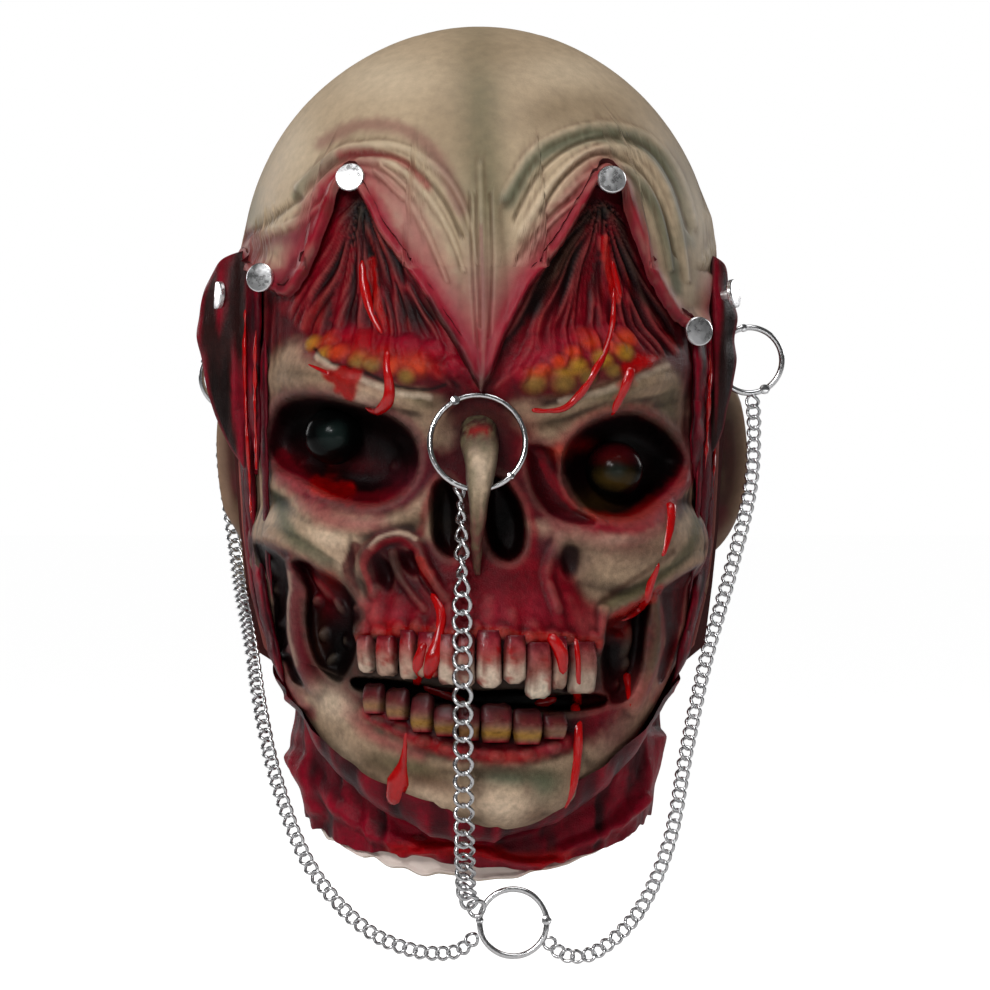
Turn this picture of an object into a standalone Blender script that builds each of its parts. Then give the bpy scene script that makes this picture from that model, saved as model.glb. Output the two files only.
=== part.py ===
"""Overhead latex horror mask with rings, curb chains and nails.

The mask is one hollow casting: a bald skin hood, a bare skull face, two ears and a short neck.
The face looks along -Y, +Z is up and the origin is the highest point inside the crown, where the
mask sits on a head. Left and right are the wearer's, so the left side is at +X.
A drop is a distance down from the outside of the crown.
"""

import math

import bmesh
import bpy
from mathutils import Matrix, Quaternion, Vector
from mathutils.bvhtree import BVHTree

# Head form
WALL = 0.0022
HEAD_WIDTH = 0.202
CROWN_RISE = 0.105
FACE_HEIGHT = 0.243
FOREHEAD_REACH = 0.106
BACK_REACH = 0.120
CROWN_ROWS = 6
FRONT_COLUMNS = 22
BACK_COLUMNS = 8
FRONT_ROUNDNESS = 0.86
JAW_SWEEP = 1.5
CAVITY_OVERRUN = 0.030

# Ears and the skin flaps torn off the temples
EAR_HEIGHT = 0.084
EAR_DEPTH = 0.044
EAR_THICKNESS = 0.017
EAR_FLARE = math.radians(42.0)
EAR_LEAN = math.radians(6.0)
EAR_SETBACK = 0.012
EAR_DROP = 0.188
FLAP_HEIGHT = 0.095
FLAP_REACH = 0.021
FLAP_THICKNESS = 0.0035
FLAP_TOP_DROP = 0.088
FLAP_SETBACK = -0.030

# Eyeballs: a share of the half width, so that they stay seated in their sockets
EYE_RADIUS_SHARE = 0.1238

# Bare nose bone
NOSE_BONE_WIDTH = 0.0155
NOSE_BONE_DEPTH = 0.0075
NOSE_BONE_TOP = 0.170
NOSE_BONE_LENGTH = 0.074
NOSE_BONE_RISE = 0.0100

# Teeth
TOOTH_WIDTH = 0.0098
TOOTH_HEIGHT = 0.0165
TOOTH_DEPTH = 0.0100
TOOTH_PROUD = 0.0040
TOOTH_TAPER = 0.8
TOOTH_GAP = 0.0009

# Hinged rings
NOSE_RING_RADIUS = 0.02025
SMALL_RING_RADIUS = 0.01425
RING_WIRE = 0.0025
RING_SEGMENTS = 16
WIRE_SIDES = 6
KNUCKLE_RADIUS = 0.0022
KNUCKLE_HEIGHT = 0.0034
SNAP_SIZE = 0.8
NOSE_RING_DROP = 0.1797
NOSE_RING_TILT = math.radians(10.0)
NOSE_RING_STANDOFF = 0.0060
NOSE_RING_HINGE = math.radians(118.0)
NOSE_RING_SNAP = math.radians(-46.0)
NOSE_CHAIN_ANGLE = math.radians(247.0)
EAR_RING_TURN = 0.10
EAR_CHAIN_ANGLE = math.radians(-90.0)
GATHER_RING_OFFSET = 0.0150
GATHER_RING_DROP = 0.3836
GATHER_RING_FORWARD = 0.1060
GATHER_RING_TILT = math.radians(7.0)
GATHER_RING_HINGE = math.radians(4.0)
GATHER_RING_SNAP = math.radians(176.0)
GATHER_NOSE_ANGLE = math.radians(152.0)
GATHER_RIGHT_ANGLE = math.radians(200.0)
GATHER_LEFT_ANGLE = math.radians(-24.0)

# Curb chains
LINK_PITCH = 0.0084
LINK_WIDTH = 0.0082
LINK_WIRE = 0.0015
LINK_SIDES = 10
LINK_WIRE_SIDES = 5
LINK_TWIST = math.radians(84.0)
LINK_NEST = 0.55
END_ROLL = math.radians(90.0)
ROLL_LINKS = 4
CHAIN_LEAD = 0.0068
SIDE_CHAIN_WIDTH = 0.0050
SIDE_CHAIN_POINTS = 20

# Nails that pin the peeled skin
NAIL_HEAD_RADIUS = 0.0062
NAIL_HEAD_HEIGHT = 0.0024
NAIL_SHANK_RADIUS = 0.0024
NAIL_STANDOFF = 0.0030
NAIL_SEAT_DEPTH = 0.0050
BOSS_WALL = 0.0032
BOSS_HEIGHT = 0.0062
NAIL_SIDES = 8
JOINT_SIDES = 6
BALL_SIDES = 10
BALL_RINGS = 6
FLAP_NAIL_SHARE = 0.30

FIT_GAP = 0.0003
PASSAGE_GAP = 0.0006
SINK = 0.0012

HALF_WIDTH = HEAD_WIDTH / 2
HEAD_HEIGHT = CROWN_RISE + FACE_HEIGHT
WIRE_RADIUS = RING_WIRE / 2
CASTING = bpy.data.collections.new("horror_mask")
CUTTERS = bpy.data.collections.new("cutters")

# Sections below the widest level of the head. The first three columns are drops at the side,
# the front and the back as shares of the face height, the rest are shares of the half width,
# the forehead reach and the back reach, and the count of rows up to the next section.
SECTIONS = (
    # name, side, front, back, width, front reach, back reach, rows
    ("temple", 0.000, 0.000, 0.000, 1.000, 1.000, 1.000, 2),
    ("brow", 0.185, 0.185, 0.185, 1.010, 1.030, 1.015, 3),
    ("eye", 0.330, 0.330, 0.330, 1.000, 1.005, 0.995, 3),
    ("cheek", 0.480, 0.490, 0.480, 0.985, 1.000, 0.950, 3),
    ("gum", 0.580, 0.630, 0.600, 0.955, 1.040, 0.860, 2),
    ("bite", 0.640, 0.760, 0.690, 0.925, 1.040, 0.780, 2),
    ("chin", 0.675, 0.910, 0.760, 0.890, 1.020, 0.730, 2),
    ("jaw edge", 0.700, 0.995, 0.800, 0.850, 0.930, 0.710, 1),
    ("under jaw", 0.730, 1.005, 0.840, 0.780, 0.660, 0.705, 1),
    ("neck", 0.850, 1.035, 0.910, 0.765, 0.620, 0.720, 1),
    ("hem", 0.980, 1.074, 0.990, 0.730, 0.600, 0.750, 0),
)

# Main bumps of the skull face and the shallow wounds in the forehead. Places and radii across
# are shares of the half width, places and radii down are shares of the head height, heights are
# shares of the half width, and a fuller form has a flatter middle and steeper sides.
RELIEF = (
    # name, across, down, radius across, radius down, height, fullness
    ("right brow", -0.50, 0.432, 0.46, 0.055, 0.075, 1.2),
    ("left brow", 0.56, 0.424, 0.46, 0.055, 0.075, 1.2),
    ("right cheekbone", -0.68, 0.640, 0.42, 0.060, 0.090, 1.2),
    ("left cheekbone", 0.72, 0.642, 0.42, 0.060, 0.090, 1.2),
    ("upper jaw", 0.06, 0.750, 0.52, 0.080, 0.070, 1.2),
    ("mouth gap", 0.05, 0.822, 0.48, 0.024, -0.070, 1.0),
    ("chin boss", 0.12, 0.930, 0.38, 0.070, 0.070, 1.2),
    ("right forehead wound", -0.46, 0.320, 0.34, 0.130, -0.050, 1.6),
    ("left forehead wound", 0.48, 0.320, 0.34, 0.130, -0.050, 1.6),
    ("forehead ridge", 0.02, 0.330, 0.10, 0.180, 0.025, 1.0),
)

# Deep hollows of the skull face, each a round-sided bowl: places and half sizes across and the
# depth are shares of the half width, places and half sizes down are shares of the head height.
HOLLOWS = (
    # name, across, down, half width, half height, depth
    ("right_eye_socket", -0.585, 0.530, 0.310, 0.074, 0.270),
    ("left_eye_socket", 0.575, 0.546, 0.335, 0.070, 0.270),
    ("nose_cavity", 0.030, 0.600, 0.195, 0.082, 0.200),
    ("right_cheek_hollow", -0.640, 0.748, 0.165, 0.080, 0.170),
    ("left_cheek_hollow", 0.640, 0.768, 0.150, 0.076, 0.170),
)

# Eyeballs: places as for the hollows, and how far each stands back of the brow.
EYEBALLS = (
    # name, across, down, setback
    ("right_eyeball", -0.590, 0.515, 0.150),
    ("left_eyeball", 0.580, 0.545, 0.150),
)

# The dish cut into each ear: shares of the ear's thickness, depth and height for its size, and
# of its thickness and depth for how far it lies out and back of the ear's middle.
EAR_DISH = {"size": (0.80, 0.55, 0.60), "out": 0.55, "back": 0.04}

# Flap sections from top to bottom: shares of the flap height, reach and thickness, and the
# share of the reach by which the free edge leans back.
FLAP_SECTIONS = (
    # down, reach, thickness, lean
    (0.00, 0.15, 0.8, 0.0),
    (0.10, 0.68, 1.0, 0.2),
    (0.30, 1.00, 1.2, 0.5),
    (0.60, 0.95, 1.1, 0.5),
    (0.88, 0.86, 1.0, 0.4),
    (1.00, 0.45, 0.8, 0.1),
)
# The left flap stands out less than the right one.
FLAP_SIDES = (("right", -1, 1.0), ("left", 1, 0.72))

# Nose bone sections from the brow down to the lip: shares of its length, width and depth, and
# how far its middle lies across as a share of its width.
NOSE_SECTIONS = (
    # down, width, depth, across
    (0.00, 0.90, 1.0, 0.00),
    (0.22, 1.00, 1.0, 0.08),
    (0.47, 0.86, 0.9, 0.16),
    (0.72, 0.58, 0.9, 0.16),
    (1.00, 0.50, 1.2, 0.12),
)
# Outline of a nose bone section: across as a share of its half width, back of its depth.
NOSE_OUTLINE = ((-1.0, 0.5), (-0.5, 0.0), (0.5, 0.0), (1.0, 0.5), (0.6, 1.0), (-0.6, 1.0))

# Tooth rows: shares of the half width across and of the head height down for the middle of the
# row, the count of teeth, the size of each as a share of the tooth and the rise at the ends.
TOOTH_ROWS = (
    # name, across, down, count, size, end rise
    ("upper", 0.045, 0.785, 9, 1.05, 0.020),
    ("lower", 0.020, 0.858, 8, 0.90, 0.022),
)

# Nails: across as a share of the half width, down as a share of the head height, how far the
# nail leans out and up for each length forward, and what it is driven into. On a flap, down is
# the share of the flap's height and the nail stands on the front of the right or left flap.
NAILS = (
    # name, across, down, lean out, lean up, host
    ("brow_nail_right", -0.52, 0.2014, -0.20, 0.35, "skin"),
    ("brow_nail_left", 0.55, 0.2040, 0.15, 0.35, "skin"),
    ("temple_nail_right", -0.885, 0.315, -0.45, 0.10, "skin"),
    ("temple_nail_left", 0.905, 0.380, 0.35, 0.05, "skin"),
    ("flap_nail_right", -1.0, 0.30, -2.60, 0.25, "flap"),
    ("flap_nail_left", 1.0, 0.30, 2.60, 0.45, "flap"),
)

# Ear rings: how far out of the head's side, how far back of its axis and how far down the
# middle of each ring is, and the angles of its hinge and its snap in degrees.
EAR_RINGS = (
    # name, side, outset, setback, drop, hinge, snap
    ("right", -1, 0.0110, 0.0300, 0.1500, 150.0, 330.0),
    ("left", 1, 0.0170, -0.0200, 0.1435, -62.0, 100.0),
)

# Chain routes between their rings, chosen by hand: across, forward of the head's axis, drop.
NOSE_CHAIN_ROUTE = (
    (-0.0068, 0.1140, 0.222),
    (-0.0066, 0.1210, 0.262),
    (-0.0062, 0.1245, 0.300),
    (-0.0058, 0.1240, 0.335),
    (-0.0052, 0.1150, 0.362),
)
RIGHT_CHAIN_ROUTE = (
    (-0.1130, -0.0390, 0.182),
    (-0.1105, -0.0420, 0.205),
    (-0.1070, -0.0300, 0.228),
    (-0.1040, -0.0080, 0.245),
    (-0.0990, 0.0220, 0.266),
    (-0.0940, 0.0500, 0.294),
    (-0.0860, 0.0720, 0.326),
    (-0.0720, 0.0880, 0.360),
    (-0.0500, 0.0980, 0.385),
    (-0.0280, 0.1030, 0.3955),
    (-0.0090, 0.1050, 0.3960),
)
LEFT_CHAIN_ROUTE = (
    (0.1200, 0.0180, 0.172),
    (0.1180, 0.0240, 0.200),
    (0.1090, 0.0370, 0.236),
    (0.0985, 0.0500, 0.272),
    (0.0895, 0.0640, 0.312),
    (0.0820, 0.0790, 0.350),
    (0.0690, 0.0910, 0.379),
    (0.0510, 0.1000, 0.3960),
    (0.0370, 0.1040, 0.3975),
)


def material(name, color, roughness, metallic=0.0):
    """Make a plain material for one kind of surface."""
    made = bpy.data.materials.new(name)
    made.use_nodes = True
    shader = made.node_tree.nodes["Principled BSDF"]
    shader.inputs["Base Color"].default_value = (*color, 1.0)
    shader.inputs["Roughness"].default_value = roughness
    shader.inputs["Metallic"].default_value = metallic
    return made


def place(name, mesh, finish=None, collection=CASTING):
    """Put a mesh in the scene as an object."""
    made = bpy.data.objects.new(name, mesh)
    collection.objects.link(made)
    if finish:
        mesh.materials.append(finish)
    return made


def mesh_of(name, form):
    """Turn a bmesh into a mesh with its faces pointing out."""
    bmesh.ops.recalc_face_normals(form, faces=form.faces)
    mesh = bpy.data.meshes.new(name)
    form.to_mesh(mesh)
    form.free()
    return mesh


def cutter(name, mesh):
    """Put a mesh in the scene as a hidden tool for Boolean modifiers."""
    made = place(name, mesh, collection=CUTTERS)
    made.hide_render = True
    made.display_type = "WIRE"
    return made


def combine(target, tools, operation):
    """Join a list of tools to the target, or cut them from it."""
    for tool in tools:
        step = target.modifiers.new(tool.name, "BOOLEAN")
        step.operation = operation
        step.object = tool


def baked(name, source, finish, collection=CASTING):
    """Replace an object and its modifiers by its evaluated mesh."""
    graph = bpy.context.evaluated_depsgraph_get()
    mesh = bpy.data.meshes.new_from_object(source.evaluated_get(graph))
    form = bmesh.new()
    form.from_mesh(mesh)
    form.transform(source.matrix_world)
    bmesh.ops.remove_doubles(form, verts=form.verts, dist=1e-6)
    form.to_mesh(mesh)
    form.free()
    bpy.data.objects.remove(source)
    mesh.materials.clear()
    return place(name, mesh, finish, collection)


def loft(name, sections, closed_ends=True):
    """Join rings of points, each with the same count, into a closed form."""
    form = bmesh.new()
    rings = [[form.verts.new(point) for point in ring] for ring in sections]
    count = len(rings[0])
    for upper, lower in zip(rings, rings[1:]):
        for i in range(count):
            j = (i + 1) % count
            form.faces.new((upper[i], upper[j], lower[j], lower[i]))
    if closed_ends:
        form.faces.new(rings[0])
        form.faces.new(rings[-1])
    return mesh_of(name, form)


def spline(points, share):
    """Read a smooth curve through the points at a share of its run."""
    last = len(points) - 1
    step = min(int(share * last), last - 1)
    local = share * last - step
    before, start = points[max(step - 1, 0)], points[step]
    end, after = points[step + 1], points[min(step + 2, last)]
    return [
        0.5 * (2 * b + (c - a) * local + (2 * a - 5 * b + 4 * c - d) * local**2
               + (3 * b - a - 3 * c + d) * local**3)
        for a, b, c, d in zip(before, start, end, after)
    ]


def head_rows():
    """List each row of the head: three drops and three reaches, in metres."""
    rows = []
    for i in range(1, CROWN_ROWS):
        turn = math.pi / 2 * i / CROWN_ROWS
        drop = CROWN_RISE * (1 - math.cos(turn))
        size = math.sin(turn)
        rows.append((drop, drop, drop, HALF_WIDTH * size, FOREHEAD_REACH * size, BACK_REACH * size))
    shares = [section[1:7] for section in SECTIONS]
    for index, section in enumerate(SECTIONS[:-1]):
        for i in range(section[7]):
            rows.append(spline(shares, (index + i / section[7]) / (len(SECTIONS) - 1)))
    rows.append(list(shares[-1]))
    scaled = rows[:CROWN_ROWS - 1]
    for side, front, back, width, reach, rear in rows[CROWN_ROWS - 1:]:
        drops = [CROWN_RISE + FACE_HEIGHT * share for share in (side, front, back)]
        scaled.append((*drops, HALF_WIDTH * width, FOREHEAD_REACH * reach, BACK_REACH * rear))
    return scaled


def column_angles():
    """List the angles of the columns, from the front round by the left side."""
    front = [math.pi * i / FRONT_COLUMNS for i in range(FRONT_COLUMNS // 2)]
    back = [math.pi / 2 + math.pi * i / BACK_COLUMNS for i in range(BACK_COLUMNS)]
    rest = [-math.pi / 2 + math.pi * i / FRONT_COLUMNS for i in range(FRONT_COLUMNS // 2)]
    return front + back + rest


def relief(across, drop):
    """Give the height of the skull's bumps and dents at a place on the front."""
    height = 0.0
    for _, x_share, z_share, x_radius, z_radius, rise, fullness in RELIEF:
        x = (across / HALF_WIDTH - x_share) / x_radius
        z = (drop / HEAD_HEIGHT - z_share) / z_radius
        reach = x * x + z * z
        if reach < 1.0:
            height += rise * HALF_WIDTH * (1.0 - reach**fullness) ** 1.5
    return height


def head_point(row, angle):
    """Give the outer surface point of a row at an angle from the front."""
    side, front, back, width, reach, rear = row
    facing = math.cos(angle)
    sweep = abs(facing) ** JAW_SWEEP
    across = width * math.sin(angle)
    if facing >= 0.0:
        drop = side + (front - side) * sweep
        forward = reach * facing**FRONT_ROUNDNESS
        out = Vector((across / width**2, -max(forward, 1e-6) / reach**2, 0.0)).normalized()
        raised = relief(across, drop) * min(1.0, 2.0 * facing)
    else:
        drop = side + (back - side) * sweep
        forward = -rear * abs(facing)
        out = Vector((0.0, 0.0, 0.0))
        raised = 0.0
    return Vector((across, -forward, WALL - drop)) + out * raised


def head_form(inset, overrun):
    """Build the closed head, set in by a distance and run on below the hem."""
    form = bmesh.new()
    apex = form.verts.new((0.0, 0.0, WALL))
    angles = column_angles()
    rings = []
    for row in head_rows():
        rings.append([form.verts.new(head_point(row, angle)) for angle in angles])
    count = len(angles)
    for i in range(count):
        form.faces.new((apex, rings[0][i], rings[0][(i + 1) % count]))
    for upper, lower in zip(rings, rings[1:]):
        for i in range(count):
            j = (i + 1) % count
            form.faces.new((upper[i], lower[i], lower[j], upper[j]))
    bmesh.ops.recalc_face_normals(form, faces=form.faces)
    form.normal_update()
    if inset:
        shifts = [(vert, vert.normal.copy()) for vert in form.verts]
        for vert, normal in shifts:
            vert.co -= normal * inset
    if overrun:
        below = [form.verts.new(vert.co - Vector((0.0, 0.0, overrun))) for vert in rings[-1]]
        for i in range(count):
            j = (i + 1) % count
            form.faces.new((rings[-1][i], below[i], below[j], rings[-1][j]))
        rings.append(below)
    middle = form.verts.new(sum((vert.co for vert in rings[-1]), Vector()) / count)
    for i in range(count):
        form.faces.new((middle, rings[-1][i], rings[-1][(i + 1) % count]))
    bmesh.ops.recalc_face_normals(form, faces=form.faces)
    return form


def cast(surface, origin, direction):
    """Find where a line meets the head, and the outward direction there."""
    point, normal, _, _ = surface.ray_cast(Vector(origin), Vector(direction))
    return point, normal


def front_of(surface, across, drop):
    """Find the front surface at a place seen from straight ahead."""
    return cast(surface, (across, -2 * FOREHEAD_REACH, WALL - drop), (0.0, 1.0, 0.0))


def side_of(surface, side, back, drop):
    """Find the side surface at a place seen from the left (1) or right (-1)."""
    return cast(surface, (side * HEAD_WIDTH, back, WALL - drop), (-side, 0.0, 0.0))


def ball(name, size):
    """Make a round form scaled to a size along each axis."""
    form = bmesh.new()
    bmesh.ops.create_uvsphere(form, u_segments=BALL_SIDES, v_segments=BALL_RINGS, radius=0.5)
    bmesh.ops.scale(form, vec=size, verts=form.verts)
    return mesh_of(name, form)


def rod(name, start, direction, length, radius, sides=NAIL_SIDES):
    """Make a straight round rod from a start point along a direction."""
    form = bmesh.new()
    bmesh.ops.create_cone(
        form, cap_ends=True, segments=sides, radius1=radius, radius2=radius, depth=length
    )
    turn = Vector((0.0, 0.0, 1.0)).rotation_difference(direction).to_matrix().to_4x4()
    middle = Vector(start) + direction * (length / 2)
    form.transform(Matrix.Translation(middle) @ turn)
    return mesh_of(name, form)


def make_hollows(surface, growth):
    """Make the bowls of the deep hollows, larger all round by a growth."""
    bowls = []
    for name, across, down, half_width, half_height, depth in HOLLOWS:
        seat, _ = front_of(surface, HALF_WIDTH * across, HEAD_HEIGHT * down)
        size = (
            2 * (HALF_WIDTH * half_width + growth),
            2 * (HALF_WIDTH * depth + growth),
            2 * (HEAD_HEIGHT * half_height + growth),
        )
        label = name if growth == 0.0 else name + "_inside"
        bowl = ball(label, size)
        bowl.transform(Matrix.Translation(seat))
        bowls.append(cutter(label, bowl))
    return bowls


def make_eyeballs(surface):
    """Make the two eyeballs at the back of their sockets."""
    eyes = []
    for name, across, down, setback in EYEBALLS:
        seat, _ = front_of(surface, HALF_WIDTH * across, HEAD_HEIGHT * down)
        eye = ball(name, (2 * HALF_WIDTH * EYE_RADIUS_SHARE,) * 3)
        eye.transform(Matrix.Translation(seat + Vector((0.0, HALF_WIDTH * setback, 0.0))))
        eyes.append(cutter(name, eye))
    return eyes


def make_ears(surface):
    """Make the two ears, each a round plate that flares out and a dish to cut from it."""
    ears, dishes = [], []
    for name, side in (("right", -1), ("left", 1)):
        root, _ = side_of(surface, side, EAR_SETBACK, EAR_DROP)
        flare = Matrix.Rotation(side * -EAR_FLARE, 4, "Z")
        turn = Matrix.Translation(root) @ flare @ Matrix.Rotation(side * EAR_LEAN, 4, "Y")
        size = (EAR_THICKNESS, EAR_DEPTH, EAR_HEIGHT)
        ear = ball(f"{name}_ear", size)
        ear.transform(turn)
        ears.append(cutter(f"{name}_ear", ear))
        dish = ball(f"{name}_ear_dish", [a * b for a, b in zip(size, EAR_DISH["size"])])
        out, back = EAR_THICKNESS * EAR_DISH["out"], EAR_DEPTH * EAR_DISH["back"]
        dish.transform(turn @ Matrix.Translation((side * out, back, 0.0)))
        dishes.append(cutter(f"{name}_ear_dish", dish))
    return ears, dishes


def flap_tip(surface, side, size, down):
    """Give the root and the free edge of a temple flap at a share of its height."""
    drop = FLAP_TOP_DROP + FLAP_HEIGHT * down[0]
    root, _ = side_of(surface, side, FLAP_SETBACK, drop)
    reach = FLAP_REACH * size * down[1]
    tip = root + Vector((side * reach, reach * down[3], 0.0))
    root = root - Vector((side * 2 * SINK, 0.0, 0.0))
    return root, tip


def make_flaps(surface):
    """Make the two skin flaps that stand out from the temples."""
    flaps = []
    for name, side, size in FLAP_SIDES:
        sections = []
        for down in FLAP_SECTIONS:
            root, tip = flap_tip(surface, side, size, down)
            half = Vector((0.0, FLAP_THICKNESS * down[2] / 2, 0.0))
            sections.append((root - half, tip - half, tip + half, root + half))
        flaps.append(cutter(f"{name}_flap", loft(f"{name}_flap", sections)))
    return flaps


def make_nose_bone(surface):
    """Make the bare nose bone, which bridges the nose cavity in front of the ring."""
    top, _ = front_of(surface, 0.0, NOSE_BONE_TOP)
    foot, _ = front_of(surface, 0.0, NOSE_BONE_TOP + NOSE_BONE_LENGTH)
    sections = []
    for down, wide, deep, across in NOSE_SECTIONS:
        front = top.lerp(foot, down)
        crown = 4.0 * down * (1.0 - down) * NOSE_BONE_RISE
        half = NOSE_BONE_WIDTH * wide / 2
        middle = NOSE_BONE_WIDTH * across
        near = front.y - crown - SINK
        far = near + NOSE_BONE_DEPTH * deep
        sections.append([
            Vector((middle + half * x, near + (far - near) * y, front.z))
            for x, y in NOSE_OUTLINE
        ])
    return cutter("nose_bone", loft("nose_bone", sections))


def make_teeth(surface):
    """Make both rows of teeth, each a tapered block rooted in the gum."""
    teeth = []
    for row, across, down, count, size, rise in TOOTH_ROWS:
        for i in range(count):
            place_share = (i + 0.5) / count * 2.0 - 1.0
            x = HALF_WIDTH * across + place_share * count * TOOTH_WIDTH * size / 2
            drop = HEAD_HEIGHT * (down - rise * place_share**2)
            seat, _ = front_of(surface, x, drop)
            ahead, _ = front_of(surface, x + TOOTH_WIDTH / 2, drop)
            lean = math.atan2(ahead.y - seat.y, TOOTH_WIDTH / 2)
            form = bmesh.new()
            bmesh.ops.create_cube(form, size=1.0)
            whole = (TOOTH_WIDTH * size - TOOTH_GAP, TOOTH_DEPTH, TOOTH_HEIGHT * size)
            bmesh.ops.scale(form, vec=whole, verts=form.verts)
            root_side = 1 if row == "upper" else -1
            for vert in form.verts:
                if vert.co.z * root_side > 0:
                    vert.co.x *= TOOTH_TAPER
            turn = Matrix.Rotation(lean, 4, "Z")
            centre = Matrix.Translation(seat + Vector((0.0, TOOTH_DEPTH / 2 - TOOTH_PROUD, 0.0)))
            form.transform(centre @ turn)
            name = f"{row}_tooth_{i + 1}"
            teeth.append(cutter(name, mesh_of(name, form)))
    return teeth


def nail_lines(surface):
    """List each nail's name, seat on the casting and direction out of it."""
    lines = []
    for name, across, down, lean_out, lean_up, host in NAILS:
        if host == "flap":
            side = 1 if across > 0 else -1
            size = {entry[1]: entry[2] for entry in FLAP_SIDES}[side]
            section = [entry for entry in FLAP_SECTIONS if entry[0] >= down][0]
            root, tip = flap_tip(surface, side, size, section)
            seat = root.lerp(tip, FLAP_NAIL_SHARE) - Vector((0.0, FLAP_THICKNESS / 2, 0.0))
        else:
            seat, _ = front_of(surface, HALF_WIDTH * across, HEAD_HEIGHT * down)
        lines.append((name, seat, Vector((lean_out, -1.0, lean_up)).normalized()))
    return lines


def make_bosses(lines):
    """Make the bunched skin under each nail and the hole for its shank."""
    bosses, holes = [], []
    for name, seat, out in lines:
        start = seat - out * 2 * SINK
        length = BOSS_HEIGHT + 2 * SINK
        boss = rod(f"{name}_boss", start, out, length, NAIL_SHANK_RADIUS + BOSS_WALL)
        bosses.append(cutter(f"{name}_boss", boss))
        bottom = seat + out * (BOSS_HEIGHT - NAIL_SEAT_DEPTH - FIT_GAP)
        hole = rod(f"{name}_hole", bottom, out, 2 * NAIL_SEAT_DEPTH, NAIL_SHANK_RADIUS + FIT_GAP)
        holes.append(cutter(f"{name}_hole", hole))
    return bosses, holes


def make_nails(lines, finish):
    """Make each nail, its shank in the casting and its flat head standing off."""
    for name, seat, out in lines:
        foot = seat + out * (BOSS_HEIGHT - NAIL_SEAT_DEPTH)
        shank = NAIL_SEAT_DEPTH + NAIL_STANDOFF + NAIL_HEAD_HEIGHT / 2
        body = place(name + "_body", rod(name, foot, out, shank, NAIL_SHANK_RADIUS))
        under = seat + out * (BOSS_HEIGHT + NAIL_STANDOFF)
        head = cutter(name + "_head", rod(name, under, out, NAIL_HEAD_HEIGHT, NAIL_HEAD_RADIUS))
        combine(body, [head], "UNION")
        baked(name, body, finish)


class Ring:
    """A hinged ring of round wire: its place, its size and the way it faces."""

    def __init__(self, name, centre, radius, normal, hinge, snap):
        self.name, self.centre, self.radius = name, Vector(centre), radius
        self.normal = Vector(normal).normalized()
        self.hinge, self.snap = hinge, snap
        self.up = (Vector((0.0, 0.0, 1.0)) - self.normal * self.normal.z).normalized()
        self.along = self.up.cross(self.normal).normalized()

    def point(self, angle):
        """Give the middle of the wire at an angle, seen from the front."""
        offset = self.along * math.cos(angle) + self.up * math.sin(angle)
        return self.centre + offset * self.radius

    def lead(self, angle, length):
        """Give the point a length out of the ring from the middle of the wire."""
        point = self.point(angle)
        return point + (point - self.centre).normalized() * length

    def torus(self, name, wire):
        """Make the bare ring with a wire of some radius."""
        profile = []
        for i in range(RING_SEGMENTS):
            angle = 2 * math.pi * i / RING_SEGMENTS
            out = (self.point(angle) - self.centre).normalized()
            turns = [2 * math.pi * j / WIRE_SIDES for j in range(WIRE_SIDES)]
            profile.append([
                self.point(angle) + (out * math.cos(t) + self.normal * math.sin(t)) * wire
                for t in turns
            ])
        return loft(name, profile + [profile[0]], closed_ends=False)

    def joints(self, gap):
        """Make the hinge knuckle and the snap, larger all round by a gap."""
        tools = []
        for part, angle, size in (("knuckle", self.hinge, 1.0), ("snap", self.snap, SNAP_SIZE)):
            height = KNUCKLE_HEIGHT * size + 2 * gap
            start = self.point(angle) - self.normal * (height / 2)
            radius = KNUCKLE_RADIUS * size + gap
            mesh = rod(part, start, self.normal, height, radius, JOINT_SIDES)
            tools.append(cutter(f"{self.name}_{part}", mesh))
        return tools

    def passage(self):
        """Make the tools that clear the casting round the ring."""
        mesh = self.torus(self.name + "_passage", WIRE_RADIUS + PASSAGE_GAP)
        return [cutter(self.name + "_passage", welded(mesh))] + self.joints(PASSAGE_GAP)

    def build(self, finish):
        """Make the ring with its hinge knuckle and its snap."""
        body = place(self.name + "_wire", welded(self.torus(self.name, WIRE_RADIUS)))
        combine(body, self.joints(0.0), "UNION")
        return baked(self.name, body, finish)


def welded(mesh):
    """Merge the doubled seam of a ring and turn its faces outwards."""
    form = bmesh.new()
    form.from_mesh(mesh)
    bmesh.ops.remove_doubles(form, verts=form.verts, dist=1e-7)
    return mesh_of(mesh.name, form)


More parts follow.
